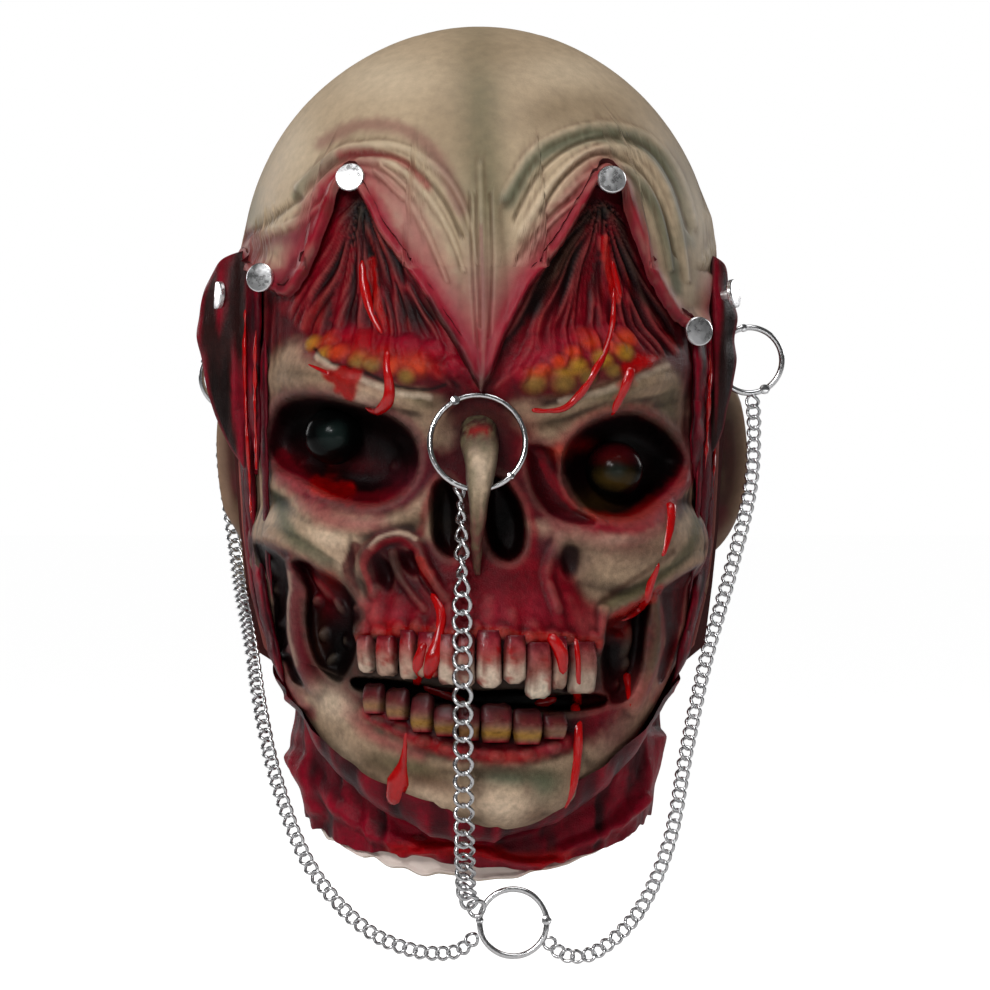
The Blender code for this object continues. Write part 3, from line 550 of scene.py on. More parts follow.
class Terrain:
    """A patch of the head's surface that is raised, sunk and painted place by place."""

    def __init__(self, turns: np.ndarray, numbers: np.ndarray, ground: Tint) -> None:
        """Lay out the patch.

        Args:
            turns: the turn of each column in radians.
            numbers: the level number of each row, or of each point.
            ground: the first coat of paint.
        """
        self.base = HEAD.surface(turns, numbers)
        self.normal = grid_normals(self.base)
        self.facing = np.cos(turns)[None, :] * np.ones(self.base.shape[:2])
        self.x = VIEW.column(self.base[..., 0])
        self.y = VIEW.row(self.base[..., 2])
        self.rise = np.zeros(self.x.shape)
        self.sink = np.zeros(self.x.shape)
        self.paint = np.ones((*self.x.shape, 3)) * ground.linear()
        self.wet = np.full(self.x.shape, 0.15)
        self.fade = smooth(-0.05, 0.25, self.facing)

    def window(self, points: np.ndarray, margin: float) -> tuple[np.ndarray, np.ndarray, np.ndarray]:
        """Pick the places near some points, on the front of the head.

        Args:
            points: columns and rows.
            margin: how far round them to look, in pixels.

        Returns:
            Which places were picked, and their columns and rows.
        """
        low, high = points.min(axis=0) - margin, points.max(axis=0) + margin
        near = (self.x > low[0]) & (self.x < high[0]) & (self.y > low[1]) & (self.y < high[1])
        near &= self.facing > -0.05
        return near, self.x[near], self.y[near]

    def tint(self, near: np.ndarray, share: np.ndarray, colour: Tint) -> None:
        """Mix a colour into the picked places, less and less towards the sides of the head."""
        share = (np.clip(share, 0.0, 1.0) * self.fade[near])[:, None]
        self.paint[near] = self.paint[near] * (1.0 - share) + colour.linear() * share

    def coat(self, cover: np.ndarray, colour: Tint) -> None:
        """Brush a colour over the whole patch, as thickly as the cover says at each place."""
        self.paint = layered(self.paint, ((cover, colour),))

    def places(self) -> np.ndarray:
        """Give the finished points of the patch."""
        moved = self.base + self.normal * (self.rise * MM)[..., None]
        moved[..., 1] += self.sink * MM
        return moved

    def spot(self, mark: "Bump | Dab", margin: float) -> tuple[np.ndarray, np.ndarray, np.ndarray]:
        """Pick the places near a turned oval, and measure them along and across in its half sizes."""
        near, x, y = self.window(np.array([[mark.x, mark.y]]), margin * max(mark.wide, mark.tall))
        turn = math.radians(mark.turn)
        x, y = x - mark.x, y - mark.y
        along = (x * math.cos(turn) + y * math.sin(turn)) / mark.wide
        return near, along, (y * math.cos(turn) - x * math.sin(turn)) / mark.tall

    def area(self, outline: Sequence[Point], margin: float) -> tuple[np.ndarray, ...]:
        """Pick the places near a closed outline.

        Args:
            outline: columns and rows.
            margin: how far outside it to look, in pixels.

        Returns:
            Which places were picked, their columns and rows, and how far inside the outline they are.
        """
        edge = curve_through(outline, 5, closed=True)
        near, x, y = self.window(edge, margin)
        distance, _ = line_distance(x, y, edge)
        return near, x, y, np.where(is_inside(x, y, edge), distance, -distance)

    def stretched_noise(self, fine: float, long: float, seed: int) -> np.ndarray:
        """Read noise drawn out down the head, for grain that runs downwards."""
        turn = np.arctan2(self.base[..., 0], -self.base[..., 1]) * HEAD.half_width
        return plane_noise(turn / fine, self.base[..., 2] / long, seed)

    def wash_and_relief_shade(self, radius: int, depth: float, dark: Tint, amount: float, light: Tint,
             lift: float) -> None:
        """Paint shade into the hollows and a highlight onto the ridges, as a wiped wash of thin paint lies.

        Args:
            radius: how wide a hollow may be, in grid steps.
            depth: the depth in millimetres at which a hollow is fully dark.
            dark: the colour of the painted shade in the hollows.
            amount: how strongly they darken.
            light: the colour of the painted highlight on the ridges.
            lift: how strongly they brighten.
        """
        height = self.rise - self.sink
        relief = (height - blurred(height, radius)) / depth
        self.coat(np.clip(-relief, 0.0, 1.0) * amount, dark)
        self.coat(np.clip(relief, 0.0, 1.0) * lift, light)

    def mottle(self, size: float, seed: int, amount: float) -> None:
        """Make the paint lighter and darker in blotches."""
        blotch = fractal(self.base, size, seed, 5)
        self.paint *= np.clip(1.0 + amount * blotch, 0.2, 2.0)[..., None]

    def deepen(self, power: float) -> None:
        """Make the paint darker and richer, as a stain that has soaked in."""
        self.paint = np.clip(self.paint, 0.0, 1.0) ** power

    def build(self, name: str, finish: bpy.types.Material) -> bpy.types.Object:
        """Turn the patch into a mesh piece."""
        return painted_mesh(name, self.places(), grid_faces(*self.x.shape), self.paint, self.wet, finish)


@dataclass(frozen=True)
class Bump:
    """A round swelling, or a dent where its rise is below zero."""

    x: float
    y: float
    wide: float
    tall: float
    rise: float
    turn: float = 0.0
    power: float = 2.0

    def apply(self, land: Terrain) -> None:
        """Raise the ground."""
        near, along, aside = land.spot(self, 1.0)
        land.rise[near] += self.rise * np.clip(1.0 - along**2 - aside**2, 0.0, 1.0) ** self.power


@dataclass(frozen=True)
class Ridge:
    """A raised line, or a groove where its rise is below zero."""

    points: tuple[Point, ...]
    width: float
    rise: float
    tip: float = 0.0

    def apply(self, land: Terrain) -> None:
        """Raise the ground along the line, thinning towards its last end by the tip's share."""
        line = curve_through(self.points)
        near, x, y = land.window(line, self.width)
        distance, along = line_distance(x, y, line)
        width = self.width * (1.0 - self.tip * along)
        profile = 0.5 + 0.5 * np.cos(math.pi * np.clip(distance / width, 0.0, 1.0))
        land.rise[near] += self.rise * profile * (1.0 - self.tip * along)


@dataclass(frozen=True)
class Hollow:
    """A pit with a closed outline, pushed straight back into the head."""

    outline: tuple[Point, ...]
    depth: float
    slope: float
    lip: float = 0.0
    sharpness: float = 2.2

    def apply(self, land: Terrain) -> None:
        """Sink the ground inside the outline and raise a lip round it."""
        near, _, _, inside = land.area(self.outline, 16.0)
        share = np.clip(inside / self.slope, 0.0, 1.0)
        land.sink[near] += self.depth * (1.0 - (1.0 - share) ** self.sharpness)
        land.rise[near] += np.where(inside > 0.0, 0.0, self.lip * np.exp(-((inside + 3.0) / 6.0) ** 2))


@dataclass(frozen=True)
class Lump:
    """A bead of fat: a steep dome with its own colour."""

    x: float
    y: float
    size: float
    colour: Tint
    rise: float = 2.6

    def apply(self, land: Terrain) -> None:
        """Raise the dome and paint it, darker round its foot."""
        near, x, y = land.window(np.array([[self.x, self.y]]), self.size * 1.3)
        reach = np.hypot(x - self.x, (y - self.y) * 1.05) / self.size
        dome = np.clip(1.0 - reach**2, 0.0, 1.0) ** 0.8
        land.rise[near] += self.rise * dome * (1.0 - 0.45 * np.clip(land.rise[near] / 4.0, 0.0, 1.0))
        land.tint(near, smooth(1.25, 0.95, reach) * smooth(0.7, 1.0, reach) * 0.45, MUSCLE)
        land.tint(near, smooth(1.15, 0.2, reach) * 0.8, self.colour)
        land.wet[near] = np.maximum(land.wet[near], 0.4 * (reach < 1.0))


@dataclass(frozen=True)
class Dab:
    """A soft spot of paint."""

    x: float
    y: float
    wide: float
    tall: float
    colour: Tint
    strength: float = 0.7
    turn: float = 0.0

    def apply(self, land: Terrain) -> None:
        """Paint the spot."""
        near, along, aside = land.spot(self, 1.6)
        land.tint(near, self.strength * np.exp(-1.4 * (along**2 + aside**2)), self.colour)


@dataclass(frozen=True)
class Stroke:
    """A line of paint, which may be wet and stand proud."""

    points: tuple[Point, ...]
    width: float
    colour: Tint
    strength: float = 0.8
    wet: float = 0.0
    rise: float = 0.0
    soft: float = 0.6
    tip: float = 0.0

    def apply(self, land: Terrain) -> None:
        """Paint the line, and raise it where it has a body of its own."""
        line = curve_through(self.points)
        near, x, y = land.window(line, self.width * 1.3)
        distance, along = line_distance(x, y, line)
        ragged = plane_noise(x / 5.0, y / 5.0, 77)
        width = self.width * (1.0 - self.tip * along) * (1.0 + 0.22 * ragged)
        cover = smooth(1.0, 1.0 - self.soft, distance / width)
        land.tint(near, cover * self.strength, self.colour)
        land.wet[near] = np.maximum(land.wet[near], self.wet * cover)
        land.rise[near] += self.rise * np.sqrt(np.clip(1.0 - (distance / width) ** 2, 0.0, 1.0))


@dataclass(frozen=True)
class Patch:
    """An area of paint with a closed outline."""

    outline: tuple[Point, ...]
    colour: Tint
    strength: float = 0.9
    soft: float = 8.0
    wet: float = 0.15
    ragged: float = 3.0

    def apply(self, land: Terrain) -> None:
        """Paint the area, fading out across its edge."""
        near, x, y, inside = land.area(self.outline, self.soft + 4.0)
        inside = inside + self.ragged * plane_noise(x / 7.0, y / 7.0, 41, 3.0)
        cover = smooth(-self.soft, self.soft, inside) * self.strength
        land.tint(near, cover, self.colour)
        land.wet[near] = land.wet[near] * (1.0 - cover) + self.wet * cover


@dataclass(frozen=True)
class Fan:
    """Muscle fibres that spread from a point under a lifted peak of skin."""

    x: float
    y: float
    outline: tuple[Point, ...]
    seed: int
    count: float = 17.0
    rise: float = 1.5

    def apply(self, land: Terrain) -> None:
        """Raise and paint the fibres inside the outline."""
        near, x, y, inside = land.area(self.outline, 6.0)
        cover = smooth(-4.0, 6.0, inside)
        reach = np.hypot(x - self.x, y - self.y) / 70.0
        lane = np.arctan2(x - self.x, y - self.y) * self.count
        lane = lane + 0.6 * plane_noise(x / 26.0, y / 40.0, self.seed)
        strand = 1.0 - 2.0 * np.abs(plane_noise(lane, reach, self.seed + 1))
        fine = plane_noise(lane * 3.1, reach * 2.0, self.seed + 2)
        land.rise[near] += cover * self.rise * (0.75 * strand + 0.35 * fine)
        land.tint(near, cover * np.clip(0.30 - strand, 0.0, 1.0) * 1.2, DARK_MUSCLE)
        land.tint(near, cover * smooth(0.30, 0.95, strand + 0.3 * fine) * 0.8, CRIMSON)
        bright = smooth(0.45, 0.8, plane_noise(lane * 0.8, reach * 1.5, self.seed + 5))
        land.tint(near, cover * bright * 0.6, BLOOD)
        land.wet[near] = np.maximum(land.wet[near], cover * 0.5)


Mark = Bump | Ridge | Hollow | Lump | Dab | Stroke | Patch | Fan


def work(land: Terrain, marks: Sequence[Mark]) -> None:
    """Apply a list of marks to a patch of ground, in order."""
    for mark in marks:
        mark.apply(land)


@dataclass
class Ribbon:
    """A strand with a smooth path and a changing thickness, such as a muscle or a run of blood."""

    path: Sequence[Sequence[float]]
    radii: Sequence[float]
    flat: float = 1.0
    sides: int = 12
    steps: int = 8
    rough: float = 0.0
    seed: int = 5
    colours: tuple[Tint, ...] = (MUSCLE, DARK_MUSCLE, CRIMSON)
    wet: float = 0.4
    outward: tuple[float, float, float] = (0.0, -1.0, 0.0)

    def build(self, name: str, finish: bpy.types.Material) -> bpy.types.Object:
        """Make the strand as a closed tube whose ends are drawn in to points.

        Args:
            name: the piece's name.
            finish: the material.

        Returns:
            The new object.
        """
        line = curve_through(self.path, self.steps)
        share = np.linspace(0.0, 1.0, len(line))
        wide = np.interp(share, np.linspace(0, 1, len(self.radii)), self.radii)
        wide = wide * np.sqrt(np.clip(1.0 - np.abs(2.0 * share - 1.0) ** 10, 0.02, 1.0))
        ahead = np.gradient(line, axis=0)
        ahead /= np.linalg.norm(ahead, axis=1, keepdims=True) + 1e-12
        out = np.array(self.outward) - ahead * (ahead @ np.array(self.outward))[:, None]
        out /= np.linalg.norm(out, axis=1, keepdims=True) + 1e-12
        side = np.cross(ahead, out)
        turn = np.linspace(0.0, 2 * math.pi, self.sides, endpoint=False)
        ring = (side[:, None, :] * np.cos(turn)[None, :, None]
                + out[:, None, :] * (np.sin(turn) * self.flat)[None, :, None])
        points = line[:, None, :] + ring * wide[:, None, None] * MM
        bumps = fractal(points, 0.006, self.seed, 3)
        points += ring * (bumps * self.rough * MM)[..., None]
        grain = plane_noise(turn * 3.0, np.arange(len(line))[:, None] / 9.0, self.seed + 3)
        main, dark, light = (colour.linear() for colour in self.colours)
        paint = main + (dark - main) * smooth(0.1, 0.8, -grain)[..., None]
        paint = paint + (light - paint) * smooth(0.2, 0.9, grain + 0.5 * bumps)[..., None]
        return closed_form(name, points, paint, self.wet, finish)


class Nodes:
    """A short way to lay out and link nodes."""

    def __init__(self, tree: bpy.types.NodeTree) -> None:
        """Keep the tree that is being filled."""
        self.tree = tree

    def fill(self, node: bpy.types.Node, values: dict) -> None:
        """Give a node's inputs numbers or sockets, by name or number."""
        for key, value in values.items():
            if isinstance(value, bpy.types.NodeSocket):
                self.tree.links.new(value, node.inputs[key])
            else:
                node.inputs[key].default_value = value

    def add(self, kind: str, values: dict | None = None, **settings: object) -> bpy.types.Node:
        """Add a node of a type, set its properties and fill its inputs."""
        node = self.tree.nodes.new(kind)
        for key, value in settings.items():
            setattr(node, key, value)
        self.fill(node, values or {})
        return node

    def read(self, kind: str, values: dict | None = None, **settings: object) -> bpy.types.NodeSocket:
        """Add a node and give its first output."""
        return self.add(kind, values, **settings).outputs[0]

    def maths(self, operation: str, *values: bpy.types.NodeSocket | float) -> bpy.types.NodeSocket:
        """Add a sum of sockets and numbers and give its result."""
        return self.read("ShaderNodeMath", dict(enumerate(values)), operation=operation)


def node_group(name: str, kind: str, inputs: dict[str, str], outputs: dict[str, str]) -> bpy.types.NodeTree:
    """Start a node group whose sockets are given by name and type."""
    group = bpy.data.node_groups.new(name, kind)
    for direction, sockets in (("INPUT", inputs), ("OUTPUT", outputs)):
        for socket, value in sockets.items():
            group.interface.new_socket(socket, in_out=direction, socket_type="NodeSocket" + value)
    return group


def new_material(name: str) -> tuple[bpy.types.Material, Nodes, bpy.types.Node]:
    """Start a material, and give its nodes and its shader."""
    made = bpy.data.materials.new(name)
    made.use_nodes = True
    return made, Nodes(made.node_tree), made.node_tree.nodes["Principled BSDF"]


def grain_group() -> bpy.types.NodeTree:
    """Build the shared surface grain: blotches of tone, pores and a fine height."""
    group = node_group("casting_grain", "ShaderNodeTree",
                       {"Paint": "Color", "Scale": "Float", "Blotch": "Float", "Pores": "Float"},
                       {"Colour": "Color", "Height": "Float", "Mask": "Float"})
    nodes = Nodes(group)
    given = nodes.add("NodeGroupInput").outputs
    place = nodes.add("ShaderNodeTexCoord").outputs["Object"]
    coarse = nodes.read("ShaderNodeTexNoise", {"Vector": place, "Scale": given["Scale"], "Detail": 6.0,
                                               "Roughness": 0.6})
    quick = nodes.maths("MULTIPLY", given["Scale"], 4.5)
    fine = nodes.read("ShaderNodeTexNoise", {"Vector": place, "Scale": quick, "Detail": 4.0})
    pores = nodes.read("ShaderNodeTexVoronoi", {"Vector": place, "Scale": quick})
    pit = nodes.read("ShaderNodeMapRange", {"Value": pores, "From Min": 0.04, "From Max": 0.22})
    tone = nodes.read("ShaderNodeMapRange", {"Value": coarse, "From Min": 0.3, "From Max": 0.7,
                                             "To Min": -0.5, "To Max": 0.5})
    shift = nodes.maths("MULTIPLY_ADD", tone, given["Blotch"], 1.0)
    shaded = nodes.read("ShaderNodeVectorMath", {0: given["Paint"], "Scale": shift}, operation="SCALE")
    height = nodes.maths("MULTIPLY_ADD", fine, 0.55, nodes.maths("MULTIPLY", pit, given["Pores"]))
    nodes.add("NodeGroupOutput", {"Colour": shaded, "Height": height, "Mask": coarse})
    return group


@dataclass(frozen=True)
class PaintedLatex:
    """Hand painted latex: paint held at the mesh's points, dry or wet."""

    name: str
    grain: float = 260.0
    blotch: float = 0.3
    pores: float = 0.4
    dry: float = 0.56
    wet: float = 0.12
    bump: float = 0.28
    coat: float = 0.1
    shine: float = 0.3

    def material(self, group: bpy.types.NodeTree) -> bpy.types.Material:
        """Build the material on the shared grain group."""
        made, nodes, shader = new_material(self.name)
        paint = nodes.read("ShaderNodeAttribute", attribute_name="paint")
        wet = nodes.add("ShaderNodeAttribute", attribute_name="wet").outputs["Fac"]
        grain = nodes.add("ShaderNodeGroup", {"Paint": paint, "Scale": self.grain, "Blotch": self.blotch,
                                              "Pores": self.pores}, node_tree=group).outputs
        gloss = nodes.read("ShaderNodeMapRange", {"Value": wet, "To Min": self.dry, "To Max": self.wet})
        rough = nodes.read("ShaderNodeMath", {0: grain["Mask"], 1: 0.16, 2: gloss},
                           operation="MULTIPLY_ADD", use_clamp=True)
        bump = nodes.read("ShaderNodeBump", {"Height": grain["Height"], "Strength": self.bump,
                                             "Distance": 0.0006})
        nodes.fill(shader, {"Base Color": grain["Colour"], "Roughness": rough, "Normal": bump,
                            "Coat Weight": nodes.maths("MULTIPLY", wet, self.coat),
                            "Coat Roughness": 0.08, "Specular IOR Level": self.shine})
        return made


@dataclass(frozen=True)
class PlatedMetal:
    """Bright plated wire or a nail's head, faintly scuffed."""

    name: str
    colour: tuple[float, float, float] = (0.72, 0.72, 0.73)
    roughness: float = 0.12
    scuff: float = 0.16
    scale: float = 900.0
    bump: float = 0.05

    def material(self) -> bpy.types.Material:
        """Build the material."""
        made, nodes, shader = new_material(self.name)
        place = nodes.add("ShaderNodeTexCoord").outputs["Object"]
        noise = nodes.read("ShaderNodeTexNoise", {"Vector": place, "Scale": self.scale, "Detail": 5.0})
        rough = nodes.read("ShaderNodeMapRange", {
            "Value": noise, "From Min": 0.35, "From Max": 0.75,
            "To Min": self.roughness, "To Max": self.roughness + self.scuff})
        tone = nodes.read("ShaderNodeMapRange", {"Value": noise, "To Min": 0.85, "To Max": 1.12})
        base = nodes.read("ShaderNodeVectorMath", {0: self.colour, "Scale": tone}, operation="SCALE")
        bump = nodes.read("ShaderNodeBump", {"Height": noise, "Strength": self.bump, "Distance": 0.0003})
        nodes.fill(shader, {"Base Color": base, "Roughness": rough, "Normal": bump, "Metallic": 1.0})
        return made


@dataclass
class Finishes:
    """Every material of the mask."""

    grain: bpy.types.NodeTree = field(default_factory=grain_group)

    def __post_init__(self) -> None:
        """Build the materials from their descriptions."""
        self.skin = PaintedLatex("painted_skin", grain=210.0, blotch=0.22, pores=0.5, dry=0.50, wet=0.12,
                                 bump=0.34, coat=0.0, shine=0.2).material(self.grain)
        self.flesh = PaintedLatex("raw_flesh", grain=330.0, blotch=0.5, pores=0.35, dry=0.5, wet=0.02,
                                  bump=0.95, coat=0.0, shine=0.13).material(self.grain)
        self.blood = PaintedLatex("running_blood", grain=300.0, blotch=0.3, pores=0.05, dry=0.2, wet=0.05,
                                  bump=0.5, coat=0.4).material(self.grain)
        self.enamel = PaintedLatex("tooth_enamel", grain=420.0, blotch=0.5, pores=0.2, dry=0.36, wet=0.08,
                                   bump=0.5, coat=0.1, shine=0.16).material(self.grain)
        self.eye = PaintedLatex("clouded_eye", grain=300.0, blotch=0.2, pores=0.0, dry=0.3, wet=0.1,
                                bump=0.05, coat=0.0, shine=0.1).material(self.grain)
        self.bare = PaintedLatex("bare_latex", grain=180.0, blotch=0.12, pores=0.3, dry=0.62, wet=0.3,
                                 bump=0.25).material(self.grain)
        self.chrome = PlatedMetal("chrome_wire").material()
        self.links = PlatedMetal("chain_links", (0.62, 0.62, 0.63), roughness=0.16, scuff=0.2,
                                 scale=1400.0).material()
        self.nail = PlatedMetal("nail_head", (0.86, 0.86, 0.87), roughness=0.22, scuff=0.2, scale=420.0,
                                bump=0.35).material()


RIGHT_SOCKET = ((262, 440), (276, 405), (312, 396), (352, 401), (386, 414), (412, 434), (420, 462),
                (408, 490), (378, 505), (338, 500), (300, 482), (272, 466))
LEFT_SOCKET = ((560, 468), (572, 438), (600, 419), (636, 413), (668, 428), (690, 455), (684, 478),
               (662, 500), (625, 519), (592, 515), (570, 497))
RIGHT_CHEEK_HOLLOW = ((306, 560), (332, 568), (352, 590), (362, 612), (358, 640), (352, 664), (338, 682),
                      (320, 672), (308, 654), (302, 624), (303, 590))
LEFT_CHEEK_HOLLOW = ((650, 600), (628, 610), (606, 622), (601, 650), (604, 690), (612, 704), (630, 700),
                     (644, 672), (650, 636))
RIGHT_SLOT = ((258, 544), (284, 550), (296, 566), (288, 590), (284, 630), (290, 660), (302, 686), (290, 684),
              (276, 660), (268, 632), (264, 590))
LEFT_SLOT = ((690, 566), (668, 582), (664, 600), (668, 640), (660, 676), (668, 684), (682, 650), (690, 610))
MOUTH_GAP = ((352, 676), (400, 678), (440, 684), (480, 687), (520, 686), (560, 691), (604, 692),
             (606, 706), (560, 711), (520, 709), (480, 708), (440, 705), (400, 697), (356, 690))

# Main forms, repeated from the casting.
MAIN_FORMS: tuple[Mark, ...] = (
    Bump(360, 375, 108, 45, 7.6, power=1.5), Bump(610, 368, 108, 45, 7.6, power=1.5),
    Bump(318, 543, 99, 49, 9.1, power=1.5), Bump(647, 545, 99, 49, 9.1, power=1.5),
    Bump(492, 632, 122, 65, 7.1, power=1.5), Bump(506, 778, 90, 57, 7.1, power=1.5),
    Bump(370, 284, 80, 105, -5.0, power=1.7), Bump(591, 284, 80, 105, -5.0, power=1.7),
    Bump(483, 300, 24, 120, 2.5, power=1.5),
)

FACE_MARKS: tuple[Mark, ...] = (
    # Muscle under the lifted peaks
    Fan(360, 196, ((344, 205), (372, 208), (400, 250), (436, 300), (478, 372), (470, 392), (420, 372),
        (360, 352), (306, 336), (286, 312), (310, 270)), 11),
    Fan(603, 200, ((590, 206), (616, 206), (634, 240), (652, 286), (678, 330), (672, 356), (620, 352),
        (560, 368), (510, 392), (488, 380), (512, 316), (556, 250)), 23),
    # Bare bone
    Patch(((268, 356), (296, 340), (318, 362), (372, 384), (440, 400), (456, 440), (430, 446), (400, 418),
        (352, 398), (300, 392), (270, 412), (258, 470), (250, 470), (252, 400)), BONE, 0.95, 10),
    Patch(((512, 404), (560, 400), (620, 380), (660, 366), (686, 396), (700, 450), (694, 452), (668, 424),
        (636, 410), (598, 416), (566, 440), (540, 440), (520, 430)), BONE, 0.92, 10),
    Patch(((250, 466), (274, 470), (302, 492), (344, 512), (392, 514), (436, 486), (444, 496), (430, 536),
        (392, 524), (366, 548), (362, 600), (336, 572), (298, 545), (252, 532)), BONE, 0.95),
    Patch(((530, 520), (588, 530), (622, 528), (664, 504), (692, 480), (700, 520), (696, 560), (664, 580),
        (640, 598), (608, 612), (584, 600), (568, 556), (548, 544)), BONE, 0.95),
    Patch(((250, 560), (268, 600), (276, 650), (296, 690), (330, 706), (372, 714), (420, 738), (480, 754),
        (540, 752), (590, 742), (620, 716), (648, 680), (664, 640), (688, 600), (694, 640), (688, 700),
        (650, 770), (600, 812), (540, 836), (470, 838), (400, 818), (340, 780), (286, 710), (256, 650),
        (244, 600)), BONE, 0.95, 10),
    # Brow bone swells and the rims of the sockets
    Bump(310, 386, 44, 13, 2.0, 8), Bump(392, 400, 46, 11, 2.4, 18), Bump(640, 388, 46, 14, 2.2, -12),
    Bump(566, 410, 44, 11, 2.4, -16),
    Ridge(((276, 484), (304, 500), (340, 516), (380, 522), (420, 506), (444, 480)), 16, 2.4),
    Ridge(((548, 528), (590, 536), (626, 532), (658, 512), (684, 482)), 17, 2.4),
    Ridge(((280, 536), (308, 548), (338, 572), (362, 602)), 12, 2.6),
    Ridge(((690, 560), (660, 582), (640, 596), (610, 608)), 12, 2.2),
    # Sockets, nose, cheek hollows and mouth
    Hollow(RIGHT_SOCKET, 23.0, 30.0, 1.2), Hollow(LEFT_SOCKET, 23.0, 30.0, 1.2),
    Hollow(((526, 446), (556, 450), (572, 486), (594, 520), (576, 526), (548, 514), (530, 486)), 7, 16),
    Ridge(((556, 456), (568, 486), (582, 506), (600, 522)), 5, 1.4),
    Ridge(((398, 440), (410, 462), (404, 486), (382, 496)), 8, 1.2),
    Hollow(((432, 486), (450, 478), (462, 500), (464, 532), (456, 556), (440, 552), (430, 532)), 16, 15,
        0.0, 2.2),
    Hollow(((484, 480), (502, 476), (520, 498), (528, 526), (524, 552), (508, 562), (490, 550), (482, 520)),
        17, 16, 0.0, 2.2),
    Hollow(RIGHT_CHEEK_HOLLOW, 14.0, 16.0, 0.0, 2.4), Hollow(LEFT_CHEEK_HOLLOW, 14.0, 16.0, 0.0, 2.4),
    Hollow(RIGHT_SLOT, 8.0, 9.0, 0.0, 2.0), Hollow(LEFT_SLOT, 6.0, 8.0, 0.0, 2.0),
    Ridge(((304, 562), (293, 592), (291, 630), (298, 660), (312, 688)), 12, 2.6),
    Ridge(((254, 566), (254, 600), (262, 640), (276, 676), (298, 704)), 12, 1.6),
    Bump(330, 584, 16, 26, 7.0, -18), Ridge(((654, 600), (658, 630), (652, 668), (636, 706)), 12, 2.6),
    *(Bump(x, y, 7, 11, rise, turn) for x, y, rise, turn in ((316, 600, 3.0, 20), (340, 606, 3.4, -20),
        (322, 634, 3.2, 10), (346, 640, 2.4, 0), (330, 660, 2.6, 30), (614, 636, 2.4, 0), (626, 664, 2.8,
        16), (616, 684, 2.2, 0), (274, 590, 2.0, 8), (276, 624, 2.0, 12), (282, 654, 2.0, 20), (394, 466,
        1.2, 30), (300, 462, 1.2, 60))),
    Bump(624, 640, 12, 34, 5.0, 8), Hollow(MOUTH_GAP, 15.0, 9.0, 0.0, 3.0),
    # Torn curls beside the nose
    Ridge(((372, 592), (366, 562), (380, 541), (402, 534), (418, 546), (428, 568), (446, 596)), 9, 2.0),
    Ridge(((394, 552), (398, 572), (410, 590), (426, 608)), 6, 1.8),
    Ridge(((410, 552), (420, 574), (436, 596)), 5, -1.6), Bump(384, 572, 11, 22, -5.0, -12),
    Bump(408, 562, 9, 18, -5.0, -30), Bump(356, 556, 6, 26, -1.6, 4),
    Ridge(((560, 538), (548, 572), (556, 606)), 10, 2.0), Bump(572, 560, 14, 22, -4.0),
    # Soft roots, the bitten edge of the upper jaw and its gum
    *(Ridge(((x + lean, 586 + 13 * (k * 5 % 4)), (x, 634)), 9 + 3 * (k % 2), 0.9 + 0.5 * (k * 3 % 4 == 1))
        for k, (x, lean) in enumerate(((372, 5), (391, 7), (411, 8), (431, 6), (450, 2), (489, 0),
        (513, -2), (537, -6), (560, -10), (582, -12)))),
    Ridge(((356, 608), (358, 632), (362, 648)), 7, 2.6),
    Ridge(((604, 608), (602, 634), (598, 650)), 7, 2.6),
    *(Bump(x, y - 3, 9 + y % 3, 11, 2.4) for x, y in ((361, 632), (379, 634), (401, 630), (420, 628),
        (441, 632), (457, 634), (476, 630), (502, 634), (526, 640), (550, 638), (566, 640), (594, 640))),
    Ridge(((366, 712), (389, 722), (416, 736), (444, 744), (483, 749), (506, 751), (526, 749), (546, 744),
        (564, 738)), 13, 2.0),
    *(Bump(x, y, 10, 9, 2.2) for x, y in ((378, 718), (401, 726), (424, 738), (447, 744), (470, 748),
        (496, 752), (526, 751), (553, 744))),
    Bump(500, 800, 46, 30, 2.4), Bump(440, 790, 30, 24, 1.5), Bump(558, 790, 30, 24, 1.5),
    Bump(500, 768, 70, 10, -1.0), Bump(360, 740, 26, 24, 1.2), Bump(600, 742, 26, 24, 1.2),
)

